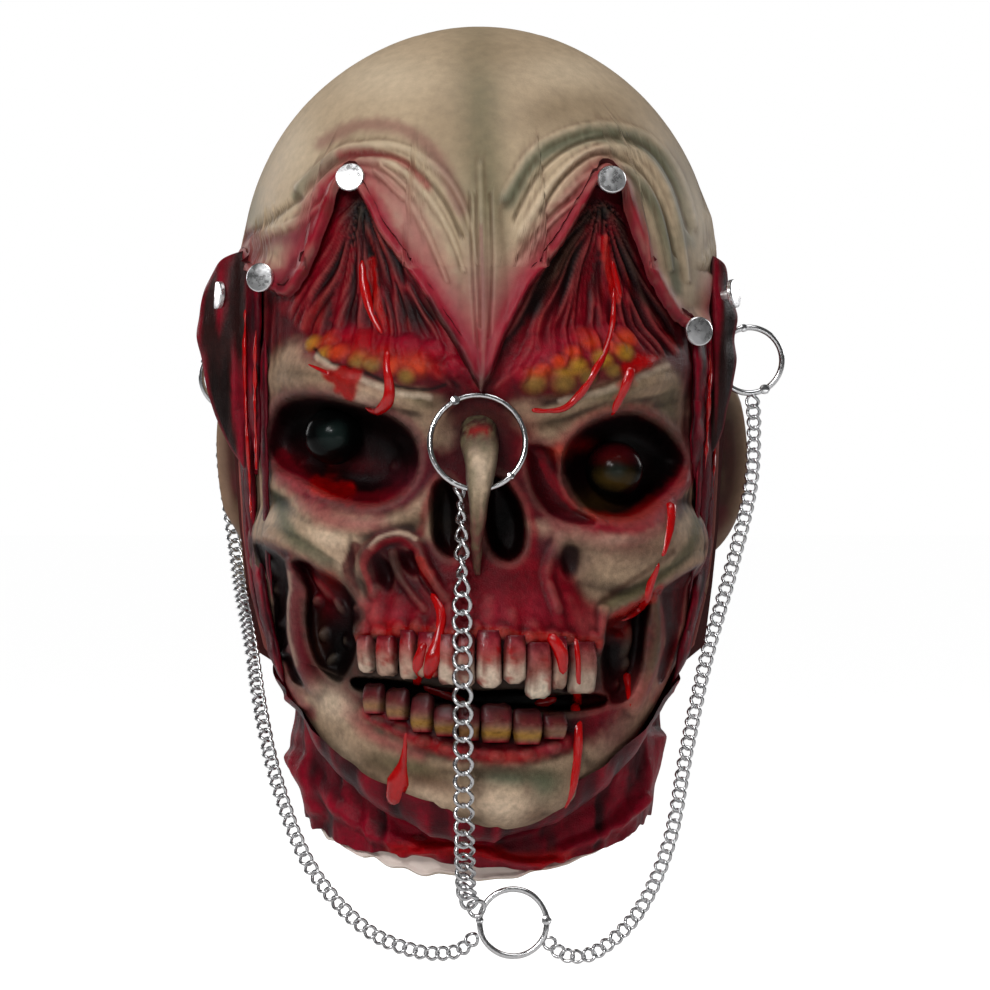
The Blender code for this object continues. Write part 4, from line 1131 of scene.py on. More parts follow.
FACE_PAINT: tuple[Mark, ...] = (
    # Under the lifted peaks; the black under each peak and along the skin's edge is painted shade
    Stroke(((350, 200), (330, 236), (308, 276), (286, 306)), 16, CRIMSON, 0.85, 0.4, soft=0.9),
    Stroke(((376, 212), (404, 240), (426, 280), (442, 330), (462, 370)), 12, BLACK, 0.75, 0.5, soft=0.9),
    Stroke(((366, 262), (368, 284), (374, 306), (386, 334)), 6, BRIGHT_BLOOD, 0.9, 0.9, 0.7),
    Stroke(((346, 252), (336, 284), (330, 320)), 8, CRIMSON, 0.8, 0.4), Dab(358, 212, 22, 32, BLACK, 0.98),
    Stroke(((590, 218), (568, 252), (542, 296), (514, 346)), 11, BLACK, 0.85, 0.5, 0.5, soft=0.9),
    Stroke(((622, 222), (634, 256), (646, 292), (672, 330)), 10, DARK_MUSCLE, 0.9, 0.5, soft=0.9),
    Stroke(((608, 240), (614, 268), (622, 300)), 6, BRIGHT_BLOOD, 0.85, 0.8, 0.6),
    Stroke(((600, 240), (590, 286), (584, 330)), 10, CRIMSON, 0.7, 0.4), Dab(606, 212, 17, 15, BLACK, 0.98),
    Stroke(((408, 232), (430, 270), (446, 310), (466, 360)), 15, BLACK, 0.75, 0.5, soft=1.0),
    Dab(572, 330, 44, 26, CRIMSON, 0.6, -20), Dab(566, 262, 12, 34, BROWN, 0.7, 35),
    Stroke(((536, 330), (508, 372), (498, 396)), 18, CRIMSON, 0.85, soft=1.0),
    Stroke(((440, 330), (462, 372), (474, 394)), 14, CRIMSON, 0.75, soft=1.0),
    # Socket interiors; the black dabs in them are painted shade
    Stroke((*RIGHT_SOCKET, RIGHT_SOCKET[0]), 17, MAUVE, 0.75, soft=1.0),
    Stroke((*LEFT_SOCKET, LEFT_SOCKET[0]), 19, CRIMSON, 0.65, soft=1.0),
    Patch(RIGHT_SOCKET, DARK_MUSCLE, 0.97, 8, 0.4), Patch(LEFT_SOCKET, DARK_MUSCLE, 0.97, 8, 0.4),
    Dab(334, 424, 62, 28, BLACK, 0.97, 10), Dab(636, 442, 54, 28, BLACK, 0.95, -5),
    Dab(300, 428, 30, 20, BLACK, 0.9), Dab(664, 462, 22, 26, BLACK, 0.8), Dab(404, 452, 18, 30, BLACK, 0.8),
    Stroke(((276, 456), (296, 478), (332, 492), (372, 500), (402, 488)), 11, CRIMSON, 0.9, 0.5),
    Stroke(((316, 484), (334, 490), (348, 490)), 12, BRIGHT_BLOOD, 0.95, 0.9, 0.9),
    Dab(330, 470, 7, 14, BLOOD, 0.8, -10), Dab(390, 456, 22, 26, BLACK, 0.6),
    Dab(352, 466, 30, 10, MUSCLE, 0.6),
    Stroke(((552, 494), (584, 520), (622, 524), (660, 502), (690, 474)), 12, CRIMSON, 0.95, 0.4),
    Stroke(((580, 512), (620, 518), (654, 500)), 8, BLOOD, 0.8, 0.5),
    Patch(((530, 450), (552, 452), (566, 486), (588, 518), (574, 522), (548, 510), (532, 484)), MUSCLE, 0.9,
        4, 0.5),
    Stroke(((540, 454), (552, 480), (574, 506)), 6, CRIMSON, 0.8, 0.5), Dab(560, 452, 12, 9, ORANGE, 0.5),
    Dab(584, 446, 18, 8, BLOOD, 0.8), Dab(600, 500, 26, 14, FAT_OLIVE, 0.35),
    # Bone shading
    Dab(300, 376, 30, 18, BONE_SHADE, 0.6), Dab(262, 430, 14, 50, MAUVE, 0.55),
    Dab(282, 514, 26, 14, BONE_LIGHT, 0.3, 30), Dab(338, 538, 26, 12, BONE_LIGHT, 0.7, 20),
    Dab(350, 572, 12, 26, BONE_LIGHT, 0.5, -30), Dab(372, 522, 26, 8, BONE_LIGHT, 0.45),
    Stroke(((272, 496), (298, 528), (330, 558), (352, 586)), 11, GREEN_GREY, 0.75, soft=0.9),
    Stroke(((286, 476), (308, 500), (340, 520), (380, 524)), 15, ROSE, 0.65, soft=1.0),
    Dab(288, 466, 22, 14, CRIMSON, 0.5, 35), Dab(408, 482, 26, 18, MAUVE, 0.8),
    Stroke(((436, 482), (426, 512), (420, 532)), 8, CRIMSON, 0.75, soft=0.9),
    Dab(420, 402, 26, 10, OLIVE, 0.55, 20), Dab(366, 398, 22, 8, BONE_LIGHT, 0.4, 14),
    Dab(612, 392, 44, 14, OLIVE, 0.7, -18), Dab(676, 404, 16, 34, OLIVE, 0.6, -25),
    Dab(550, 424, 28, 12, BONE_SHADE, 0.8, -15), Dab(692, 440, 12, 44, MAUVE, 0.7, -8),
    Stroke(((560, 524), (600, 538), (640, 530), (676, 500)), 18, ROSE, 0.55, soft=1.0),
    Dab(606, 540, 20, 6, BONE_LIGHT, 0.3, -4), Dab(624, 548, 34, 12, MAUVE, 0.35, -6),
    Dab(636, 552, 30, 12, BROWN, 0.35, -12),
    Stroke(((694, 520), (672, 556), (640, 588), (606, 606)), 11, OLIVE, 0.85, soft=0.9),
    Dab(570, 556, 24, 24, DARK_MUSCLE, 0.85), Dab(548, 540, 16, 20, MAUVE, 0.7),
    Dab(560, 586, 26, 26, MUSCLE, 0.8),
    Stroke(((604, 600), (630, 580), (660, 552)), 6, BROWN, 0.5, soft=0.9),
    Dab(378, 560, 14, 24, DARK_MUSCLE, 0.85),
    # Nose; the black in both cavities and the dark at the top of the bridge are painted shade
    Dab(446, 520, 17, 40, BLACK, 1.0), Dab(505, 520, 24, 44, BLACK, 1.0),
    Dab(480, 420, 46, 30, MUSCLE, 0.9), Dab(480, 440, 34, 40, DARK_MUSCLE, 0.95),
    Dab(480, 420, 34, 16, BROWN, 0.5), Dab(526, 446, 12, 30, CRIMSON, 0.5, 10),
    Stroke(((514, 484), (530, 512), (534, 548), (516, 568)), 7, CRIMSON, 0.6, soft=0.9),
    # Torn curls and the upper gum
    Dab(404, 574, 42, 40, MUSCLE, 0.9), Dab(390, 566, 24, 24, DARK_MUSCLE, 0.8),
    Dab(414, 520, 40, 12, BONE_SHADE, 0.5, 10),
    Stroke(((358, 600), (352, 570), (362, 546)), 7, MUSCLE, 0.8),
    Stroke(((376, 548), (384, 537), (402, 532), (416, 538)), 3.5, BONE_LIGHT, 0.6, soft=0.9),
    Stroke(((372, 590), (368, 562), (384, 544), (402, 540), (418, 552)), 4, CRIMSON, 0.7),
    Stroke(((420, 560), (434, 584), (448, 606)), 8, BRIGHT_BLOOD, 0.9, 0.95, 0.6),
    Patch(((362, 612), (380, 594), (420, 596), (452, 556), (500, 562), (548, 560), (586, 596), (602, 612),
        (598, 640), (560, 634), (500, 630), (440, 636), (380, 634), (362, 640)), CRIMSON, 0.8, 10, 0.35),
    Dab(440, 590, 34, 36, MUSCLE, 0.7), Dab(500, 580, 40, 20, MUSCLE, 0.7),
    Dab(496, 612, 12, 26, ROSE, 0.5), Dab(540, 606, 22, 22, ROSE, 0.45), Dab(590, 622, 16, 20, PINK, 0.6),
    Dab(370, 612, 16, 18, PINK, 0.6), Dab(398, 616, 16, 14, ROSE, 0.6),
    Stroke(((360, 636), (380, 634), (402, 630), (424, 628), (450, 634), (490, 630), (514, 634), (538, 636),
        (560, 636), (596, 642)), 7, BLOOD, 0.9, 0.95, 0.5),
    Dab(390, 624, 22, 8, BRIGHT_BLOOD, 0.6), Dab(536, 640, 12, 12, BRIGHT_BLOOD, 0.9),
    # Cheek hollows; the black dabs deep in them are painted shade
    Patch(RIGHT_SLOT, DARK_MUSCLE, 0.97, 4, 0.5), Patch(LEFT_SLOT, MUSCLE, 0.95, 4, 0.5),
    Patch(RIGHT_CHEEK_HOLLOW, DARK_MUSCLE, 0.97, 5, 0.5),
    Patch(LEFT_CHEEK_HOLLOW, DARK_MUSCLE, 0.97, 5, 0.5), Dab(276, 560, 24, 14, BLACK, 0.9),
    Dab(272, 620, 9, 44, BLACK, 0.7), Dab(326, 590, 16, 26, CRIMSON, 0.75, -15),
    Dab(338, 580, 8, 12, BLOOD, 0.7), Dab(336, 650, 20, 44, BLACK, 0.95), Dab(316, 640, 10, 30, BROWN, 0.5),
    Stroke(((305, 566), (295, 592), (293, 630), (302, 668), (314, 690)), 8, MAUVE, 0.5, soft=0.9),
    Stroke(((298, 572), (289, 598), (289, 632), (297, 664)), 4, BONE_LIGHT, 0.4, soft=0.9),
    Stroke(((254, 562), (254, 600), (260, 632)), 9, BONE_SHADE, 0.7, soft=0.9),
    Stroke(((258, 630), (266, 660), (284, 690), (306, 714)), 12, ROSE, 0.8, 0.2, soft=0.9),
    Stroke(((655, 596), (659, 630), (652, 668), (638, 704)), 9, OLIVE, 0.5, soft=0.9),
    Stroke(((664, 610), (664, 650), (650, 690)), 8, CRIMSON, 0.7, 0.3, soft=0.9),
    Stroke(((618, 614), (640, 604), (658, 590)), 8, BRIGHT_BLOOD, 0.85, 0.8),
    Dab(616, 626, 14, 14, BLOOD, 0.9), Dab(620, 664, 13, 30, BLACK, 0.5),
    Stroke(((686, 580), (688, 620), (680, 660), (660, 700)), 12, CRIMSON, 0.6, soft=1.0),
    # Mouth and lower jaw; the black in the gap between the rows of teeth is painted shade
    Patch(((358, 640), (400, 638), (450, 640), (500, 638), (550, 644), (598, 650), (604, 704), (566, 735),
        (541, 742), (511, 744), (458, 738), (412, 722), (366, 712)), DARK_MUSCLE, 0.97, 5, 0.5),
    Patch(MOUTH_GAP, BLACK, 0.98, 6, 0.5),
    Stroke(((366, 712), (389, 722), (416, 736), (444, 745), (483, 750), (506, 752), (526, 750), (546, 745),
        (566, 740)), 14, CRIMSON, 0.95, 0.5, soft=0.9),
    Stroke(((372, 712), (400, 724), (444, 738), (483, 743), (520, 744), (556, 736)), 5, DARK_MUSCLE, 0.7,
        soft=0.9),
    Dab(432, 742, 26, 7, BLOOD, 0.7, 14), Dab(506, 753, 36, 6, BLOOD, 0.8), Dab(548, 746, 14, 5, ROSE, 0.6),
    Stroke(((340, 706), (360, 724), (384, 740), (420, 754)), 12, ROSE, 0.6, soft=1.0),
    Dab(330, 702, 26, 18, BONE_LIGHT, 0.95, 30), Dab(602, 706, 26, 22, CRIMSON, 0.7, -25),
    Dab(618, 734, 30, 26, MAUVE, 0.6, -40), Dab(640, 694, 20, 26, PINK, 0.6),
    Dab(376, 762, 30, 16, BONE_SHADE, 0.7, 20), Dab(428, 776, 44, 14, BROWN, 0.75, 6),
    Dab(410, 764, 40, 10, OLIVE, 0.8, 10), Dab(500, 768, 60, 8, BROWN, 0.6, 2),
    Dab(510, 774, 50, 10, GREEN_GREY, 1.0, 2), Dab(540, 780, 18, 20, GREEN_GREY, 0.9, 30),
    Dab(478, 782, 8, 18, BROWN, 0.5, 10), Dab(524, 786, 7, 16, BROWN, 0.5, -8),
    Dab(500, 800, 38, 22, BONE_LIGHT, 1.0), Dab(430, 796, 30, 14, BONE_LIGHT, 0.5, 10),
    Dab(470, 814, 22, 9, BONE_SHADE, 0.8), Dab(536, 812, 20, 14, BROWN, 0.6),
    Stroke(((300, 730), (340, 780), (390, 812), (440, 830), (500, 838), (556, 828), (600, 804), (640, 764)),
        9, ROSE, 0.55, soft=1.0),
    Dab(590, 790, 26, 18, MAUVE, 0.45, -35), Dab(340, 756, 14, 24, BONE_LIGHT, 0.4, -35),
)

RIGHT_FAT = (
    Dab(350, 345, 52, 22, CRIMSON, 0.9), Dab(420, 352, 40, 20, CRIMSON, 0.9),
    Lump(313, 344, 10, YELLOW, 1.6), Lump(330, 338, 10, ORANGE, 1.8), Lump(346, 334, 10, CRIMSON, 1.8),
    Lump(363, 343, 15, BLOOD, 2.4), Lump(329, 355, 10, YELLOW, 2.0), Lump(343, 354, 11, ORANGE, 2.2),
    Lump(364, 362, 12, FAT_OLIVE, 1.8), Lump(378, 366, 10, FAT_OLIVE, 1.8), Lump(388, 348, 12, BLOOD, 2.0),
    Lump(408, 346, 13, CRIMSON, 2.2), Lump(398, 368, 12, ORANGE, 1.8), Lump(420, 366, 17, ORANGE, 2.2),
    Lump(433, 352, 13, CRIMSON, 1.8), Lump(410, 378, 10, FAT_OLIVE, 1.4), Lump(440, 372, 12, BLOOD, 1.8),
    Lump(455, 369, 13, CRIMSON, 2.2), Lump(470, 376, 10, MUSCLE, 1.6),
)
LEFT_FAT = (
    Dab(585, 348, 56, 24, CRIMSON, 0.9, -12), Dab(536, 372, 30, 20, CRIMSON, 0.9),
    Lump(588, 341, 15, ORANGE, 2.2), Lump(570, 355, 11, ORANGE, 1.8), Lump(556, 364, 10, ORANGE, 1.8),
    Lump(541, 372, 9, ORANGE, 1.4), Lump(534, 384, 15, FAT_OLIVE, 2.2), Lump(561, 384, 14, FAT_OLIVE, 2.2),
    Lump(574, 368, 11, YELLOW, 1.8), Lump(583, 378, 10, FAT_OLIVE, 1.6), Lump(597, 361, 12, YELLOW, 2.0),
    Lump(606, 372, 9, FAT_OLIVE, 1.4), Lump(611, 349, 10, ORANGE, 1.8), Lump(623, 339, 13, ORANGE, 2.0),
    Lump(619, 354, 11, YELLOW, 1.8), Lump(636, 362, 12, BLOOD, 1.6), Lump(520, 376, 10, CRIMSON, 1.4),
)
FAT_PAINT = (
    Stroke(((330, 334), (362, 338), (400, 344), (436, 352), (470, 366)), 9, CRIMSON, 0.55, 0.3, soft=0.9),
    Stroke(((318, 344), (346, 352), (380, 358), (424, 366)), 12, ORANGE, 0.3, soft=1.0),
    Stroke(((520, 368), (550, 352), (586, 336), (620, 330)), 8, CRIMSON, 0.5, 0.3, soft=0.9),
    Dab(364, 338, 20, 10, BLOOD, 0.6), Dab(412, 356, 40, 9, BLOOD, 0.55, 6),
    Dab(345, 340, 12, 8, BLOOD, 0.4), Dab(536, 374, 14, 6, ORANGE, 0.6), Dab(562, 374, 12, 5, YELLOW, 0.6),
    Dab(590, 334, 22, 8, BLOOD, 0.35),
    # The thin black and brown lines along the foot of the fat are painted shade in its crease.
    Stroke(((318, 350), (336, 364), (352, 368), (372, 374), (388, 382), (404, 388), (428, 391), (446, 386)),
        3.2, BLACK, 0.9, soft=0.9),
    Stroke(((322, 358), (346, 372), (372, 382), (400, 394), (430, 398)), 5, BONE_LIGHT, 0.55, soft=0.9),
    Stroke(((546, 398), (570, 396), (592, 388), (620, 376), (646, 366)), 3.0, BROWN, 0.8, soft=0.9),
    Stroke(((560, 402), (600, 392), (640, 374), (662, 366)), 5, BONE_LIGHT, 0.4, soft=0.9),
    Patch(((332, 372), (350, 368), (366, 372), (367, 384), (360, 398), (350, 402), (344, 390), (338, 384)),
        BLOOD, 0.95, 3, 1.0),
    Bump(352, 383, 18, 16, 1.6),
    Patch(((614, 366), (632, 358), (652, 358), (644, 368), (630, 374), (622, 392), (612, 398), (614, 380)),
        BRIGHT_BLOOD, 0.85, 3, 0.9),
)


@dataclass
class BareFace:
    """The bare skull above the bite and the jaw below it, with their muscle, fat, sockets and gums."""

    finishes: Finishes
    top_row: float = 150.0
    skull_rows: int = 286
    jaw_rows: int = 130
    columns: int = 236
    side_columns: int = 46
    flat: float = 0.082
    limit: float = math.radians(96.0)

    def patch(self, first: float, last: float, rows: int) -> Terrain:
        """Shape and paint the face between two levels, on raw muscle whose strands run down its sides."""
        turns = HEAD.turns(self.flat, self.columns, self.limit, self.side_columns)
        land = Terrain(turns, HEAD.levels_between(first, last, rows), MUSCLE)
        strand = land.stretched_noise(0.0030, 0.045, 5)
        aside = smooth(185.0, 235.0, np.abs(land.x - VIEW.axis_column))
        land.rise += -2.0 + 0.9 * strand * aside
        land.coat(smooth(0.0, 0.7, -strand) * aside * 0.8, DARK_MUSCLE)
        land.coat(smooth(0.2, 0.8, strand) * aside * 0.6, CRIMSON)
        land.wet += 0.25
        work(land, MAIN_FORMS + FACE_MARKS)
        land.rise += 0.30 * fractal(land.base, 0.012, 3) + 0.10 * fractal(land.base, 0.003, 8)
        # Painted shade in the hollows and painted highlight on the ridges, before the paint and again after it.
        land.wash_and_relief_shade(4, 1.0, DARK_MUSCLE, 0.8, ROSE, 0.10)
        work(land, FACE_PAINT)
        land.wash_and_relief_shade(2, 0.5, BLACK, 0.45, CREAM, 0.07)
        land.mottle(0.02, 12, 0.16)
        land.deepen(1.16)
        return land

    def build(self) -> list[bpy.types.Object]:
        """Make the skull, which stands for the casting, and the jaw."""
        bite = HEAD.level_of("bite")
        top = HEAD.levels_at(np.zeros(1), [self.top_row], np.linspace(0.02, len(SECTIONS), 3000))[0]
        skull = self.patch(top, bite, self.skull_rows)
        work(skull, RIGHT_FAT + LEFT_FAT + FAT_PAINT)
        jaw = self.patch(bite, HEAD.level_of("under jaw") + 0.4, self.jaw_rows)
        return [settle(skull.build("skull_face", self.finishes.flesh), Slot.LATEX, "mask_shell"),
                settle(jaw.build("lower_jaw", self.finishes.flesh), Slot.LATEX)]


# The free edge of the skin: turn from the front in degrees, row.
SKIN_EDGE = (
    (-180, 815), (-104, 815), (-97, 760), (-92, 520), (-88, 330), (-84, 272), (-78, 262), (-72, 268),
    (-67, 276), (-60, 292), (-53, 300), (-49, 291), (-45, 272), (-42, 250), (-39, 217), (-36.6, 193),
    (-34.2, 182), (-31.5, 192), (-29, 207), (-25, 234), (-19.4, 262), (-14, 292), (-9.5, 322), (-5.0, 352),
    (-2.0, 376), (0.8, 393), (3.4, 378), (6.4, 341), (12.8, 290), (20.5, 250), (26.5, 215), (30.7, 192),
    (34.6, 180), (38.0, 194), (40.8, 235), (45.3, 276), (50, 302), (55, 320), (60, 334), (65, 343),
    (69, 336), (74, 310), (79, 284), (84, 272), (88, 330), (92, 520), (97, 760), (104, 815), (180, 815),
)

SKIN_WRINKLES = (
    Ridge(((310, 207), (335, 179), (363, 166), (390, 168), (415, 185), (439, 215), (456, 248), (464, 274)),
        6, 1.5, 0.4),
    Ridge(((304, 190), (323, 172), (343, 156), (365, 151), (396, 151), (425, 164), (451, 187), (470, 226),
        (477, 266)), 7, 1.5, 0.4),
    Ridge(((322, 200), (344, 176), (366, 174), (390, 184), (412, 208), (432, 244), (448, 284)), 5, 1.0,
        0.3),
    Ridge(((378, 176), (392, 190), (405, 203)), 3, 0.8),
    Ridge(((384, 171), (400, 184), (416, 200)), 3, 0.8),
    Ridge(((318, 188), (341, 164), (363, 159), (392, 160), (420, 176), (445, 205), (462, 240)), 4, -1.2),
    Ridge(((560, 205), (580, 184), (604, 170), (628, 176), (648, 200), (660, 236), (666, 270)), 6, 1.5,
        0.3),
    Ridge(((522, 236), (544, 196), (572, 166), (604, 152), (638, 158), (662, 190), (676, 236), (682, 280)),
        7, 1.5, 0.3),
    Ridge(((506, 200), (530, 160), (564, 138), (604, 130), (646, 140), (676, 176), (692, 226)), 8, 1.2,
        0.3),
    Ridge(((540, 216), (560, 184), (588, 160), (612, 160), (640, 176), (660, 210), (671, 256)), 4, -1.2),
    Ridge(((514, 222), (536, 180), (568, 152), (604, 141), (642, 149), (668, 182), (684, 230)), 4, -1.0),
    Ridge(((530, 250), (552, 224), (572, 206)), 4, 1.0),
    Ridge(((516, 262), (540, 230), (566, 204)), 4, -0.8),
    Ridge(((480, 170), (482, 240), (484, 330), (481, 392)), 5, 0.7),
    Ridge(((476, 200), (478, 260), (480, 330)), 3, -0.8),
    Ridge(((470, 200), (473, 280), (478, 350)), 3, -0.7),
    Ridge(((490, 200), (492, 270), (489, 340)), 3, -0.7),
    Ridge(((236, 262), (262, 236), (300, 224), (330, 206)), 9, 1.4, 0.5),
    Ridge(((240, 240), (270, 222), (304, 200)), 6, -1.2),
    Ridge(((700, 262), (712, 240), (706, 214)), 8, 1.4), Bump(355, 196, 30, 26, 4.0),
    Bump(604, 192, 30, 26, 4.0), Bump(692, 330, 26, 24, 3.4), Bump(266, 272, 26, 22, 3.4),
)

SKIN_PAINT = (
    Dab(478, 120, 30, 110, OLIVE, 0.85), Dab(486, 200, 24, 90, OLIVE, 0.7),
    Dab(446, 140, 40, 70, SKIN_SHADE, 0.6), Dab(510, 60, 60, 26, SKIN_SHADE, 0.45),
    Dab(548, 118, 50, 26, SKIN_SHADE, 0.85, -14), Dab(600, 110, 60, 20, SKIN_SHADE, 0.5, 12),
    Dab(380, 80, 70, 34, SKIN_LIGHT, 0.55), Dab(570, 74, 60, 24, SKIN_LIGHT, 0.45),
    Dab(300, 150, 28, 60, SKIN_LIGHT, 0.5), Dab(612, 186, 34, 20, SKIN_LIGHT, 0.4),
    Dab(404, 226, 24, 44, SKIN_LIGHT, 0.35, -30), Dab(550, 220, 18, 40, SKIN_LIGHT, 0.3, 30),
    # The olive, green grey and shade dabs at the far sides of the crown are painted shade.
    Dab(262, 150, 16, 80, OLIVE, 0.5, 14), Dab(690, 170, 20, 90, OLIVE, 0.35, -14),
    Dab(250, 210, 16, 34, GREEN_GREY, 0.5), Dab(700, 250, 22, 40, SKIN_SHADE, 0.3),
    Stroke(((508, 206), (532, 168), (566, 146), (604, 138), (644, 150), (670, 186), (684, 240)), 14,
        GREEN_GREY, 0.85, soft=0.9),
    Stroke(((536, 246), (560, 204), (592, 176)), 9, OLIVE, 0.6, soft=0.9),
    Stroke(((620, 176), (650, 206), (664, 246), (672, 290)), 11, GREEN_GREY, 0.8, soft=0.9),
    Stroke(((300, 198), (330, 168), (360, 158), (380, 160)), 9, GREEN_GREY, 0.65, soft=0.9),
    Stroke(((326, 146), (362, 130), (404, 134), (438, 162), (462, 214)), 12, MAUVE, 0.5, soft=0.9),
    Stroke(((345, 160), (372, 158), (404, 166), (430, 192)), 7, CRIMSON, 0.7, soft=0.9),
    Stroke(((330, 196), (312, 226), (298, 258), (290, 290)), 22, ROSE, 0.8, soft=1.0),
    Stroke(((340, 186), (322, 226), (306, 262), (288, 290)), 15, CRIMSON, 0.9, 0.4, soft=0.9),
    Stroke(((240, 232), (270, 240), (306, 236), (326, 222)), 16, MAUVE, 0.8, soft=1.0),
    Stroke(((234, 256), (262, 268), (290, 290)), 20, MAUVE, 0.85, soft=1.0),
    Stroke(((372, 176), (402, 204), (424, 246), (444, 290), (466, 344)), 26, ROSE, 0.6, soft=1.0),
    Stroke(((370, 200), (400, 250), (430, 292), (456, 336), (476, 384)), 15, CRIMSON, 0.95, 0.35, soft=0.9),
    Stroke(((590, 196), (552, 232), (522, 276), (500, 340)), 28, ROSE, 0.6, soft=1.0),
    Stroke(((584, 212), (556, 250), (528, 290), (506, 336), (490, 388)), 17, CRIMSON, 0.95, 0.35, soft=0.9),
    Dab(482, 300, 30, 50, MAUVE, 0.75), Dab(481, 360, 40, 50, CRIMSON, 1.0),
    # The dark dabs at columns 462 and 497, beside the tip of the V, are painted shade.
    Dab(482, 376, 26, 30, MUSCLE, 0.9), Dab(462, 350, 10, 30, DARK_MUSCLE, 0.8, -22),
    Dab(497, 352, 9, 30, MUSCLE, 0.8, 20),
    Stroke(((624, 212), (640, 256), (656, 300), (682, 338)), 12, CRIMSON, 0.9, 0.3, soft=0.9),
    # The skin-light dab at column 696 is painted light on the crown's far side.
    Dab(696, 222, 22, 50, SKIN_LIGHT, 0.6, -12), Dab(664, 322, 20, 18, ROSE, 0.7),
    Dab(712, 278, 14, 18, SKIN, 0.5), Stroke(((481, 232), (483, 300), (483, 350)), 3, MAUVE, 0.6, soft=0.9),
)


RIM_PAINT = (
    Stroke(((430, 304), (446, 328), (460, 352), (474, 384)), 8, DARK_MUSCLE, 0.85, soft=0.9),
    Stroke(((524, 300), (508, 334), (496, 364), (488, 388)), 6, MUSCLE, 0.85, soft=0.9),
    Stroke(((340, 186), (330, 214), (318, 244)), 7, CRIMSON, 0.8, 0.6, soft=0.9),
    Stroke(((300, 262), (290, 284), (276, 296), (262, 288)), 8, MUSCLE, 0.6, 0.4, soft=0.9),
    Dab(482, 384, 20, 14, DARK_MUSCLE, 0.8),
)


@dataclass
class SkinHood:
    """The bald skin over the crown, sides and back, with its torn and rolled free edge."""

    finishes: Finishes
    lift: float = 2.2
    lip: float = 1.8
    thickness: float = 2.6
    rows: int = 250
    front_columns: int = 250
    side_columns: int = 40
    back_columns: int = 44
    flat: float = 0.088
    limit: float = math.radians(106.0)

    def edge_level(self, turns: np.ndarray) -> np.ndarray:
        """Find the level number of the free edge at each turn."""
        table = np.array(SKIN_EDGE, float)
        rows = np.interp(np.degrees(turns), table[:, 0], table[:, 1])
        rows = rows + 1.6 * plane_noise(turns * 60, 0.0, 9)
        return HEAD.levels_at(turns, rows, np.linspace(0.02, len(SECTIONS), 1200))

    def build(self) -> bpy.types.Object:
        """Shape and paint the skin, and roll its edge under."""
        front = HEAD.turns(self.flat, self.front_columns, self.limit, self.side_columns)
        back = np.linspace(self.limit, 2 * math.pi - self.limit, self.back_columns + 2)[1:-1]
        turns = np.concatenate([front, back])
        wrapped = (turns + math.pi) % (2 * math.pi) - math.pi
        edge = self.edge_level(wrapped)
        shares = np.linspace(0.0, 1.0, self.rows) ** 0.86
        shares = np.maximum(shares, 1e-4)
        numbers = edge[None, :] * shares[:, None]
        land = Terrain(wrapped, np.maximum(numbers, 0.012), SKIN)
        near_pole = land.base[..., 2] > VIEW.crown_z - 0.004
        land.normal[near_pole] = (0.0, 0.0, 1.0)
        reach = VIEW.row(land.base[-1, :, 2])[None, :] - land.y
        front = np.cos(wrapped) > 0.0
        rim = np.stack([land.x[-1], land.y[-1]], axis=-1)[front]
        near = (land.facing > 0.0) & (reach < 190.0)
        reach[near] = line_distance(land.x[near], land.y[near], rim)[0]
        reach = blurred(reach, 1)
        free = smooth(-0.45, -0.1, land.facing)
        land.rise += self.lift * (0.35 + 0.65 * free)
        land.rise += self.lip * np.exp(-((reach - 5.0) / 6.0) ** 2) * free
        land.rise -= 2.6 * np.exp(-(reach / 2.2) ** 2) * free
        work(land, [mark for mark in MAIN_FORMS if mark.rise > 0 and mark.y < 400])
        work(land, SKIN_WRINKLES)
        land.rise += 0.6 * fractal(land.base, 0.06, 21, 2) + 0.06 * fractal(land.base, 0.004, 22, 2)
        land.mottle(0.05, 31, 0.12)
        # Painted shade in the hollows and painted highlight on the ridges, before the paint and again at the end.
        land.wash_and_relief_shade(3, 0.8, OLIVE, 0.55, SKIN_LIGHT, 0.25)
        work(land, SKIN_PAINT)
        self.shade_rim(land, reach, free)
        work(land, RIM_PAINT)
        land.wash_and_relief_shade(1, 0.25, BROWN, 0.4, SKIN_LIGHT, 0.12)
        return settle(self.rolled(land, free), Slot.LATEX)

    def shade_rim(self, land: Terrain, reach: np.ndarray, free: np.ndarray) -> None:
        """Redden the torn edge."""
        ragged = 3.0 * fractal(land.base, 0.01, 52, 3)
        narrow = 1.0 + 0.9 * smooth(590.0, 640.0, land.x) * free
        far = (reach + ragged) * narrow
        land.coat(smooth(40.0, 6.0, far) * 0.6 * free, ROSE)
        land.coat(smooth(24.0, 2.0, far) * 0.9 * free, CRIMSON)
        land.coat(smooth(5.0, 0.2, reach) * 0.8 * free, MUSCLE)
        land.wet += smooth(7.0, 1.0, reach) * 0.35 * free

    def rolled(self, land: Terrain, free: np.ndarray) -> bpy.types.Object:
        """Add rows that turn the edge inwards, and make the mesh."""
        points = land.places()
        inward = -grid_normals(points)[-2]
        up = points[-6] - points[-1]
        up /= np.linalg.norm(up, axis=1, keepdims=True) + 1e-9
        depth = (self.thickness * (0.35 + 0.65 * free[-1]))[:, None] * MM
        inner = [points[-1] + inward * depth * turn + up * back * 2.2 * MM
                 for turn, back in ((0.5, 0.0), (1.0, 0.15), (1.25, 1.3), (1.3, 3.0))]
        # The turned-in rows get painted shade: half of the edge's paint.
        points, paint, wet = tucked(points, land.paint, land.wet, inner, (0.5, 0.5, 0.5, 0.5))
        faces = grid_faces(*points.shape[:2], closed=True)
        made = painted_mesh("skin_hood", points, faces, paint, wet, self.finishes.skin)
        return closed_up(made, [range(points.shape[1])])


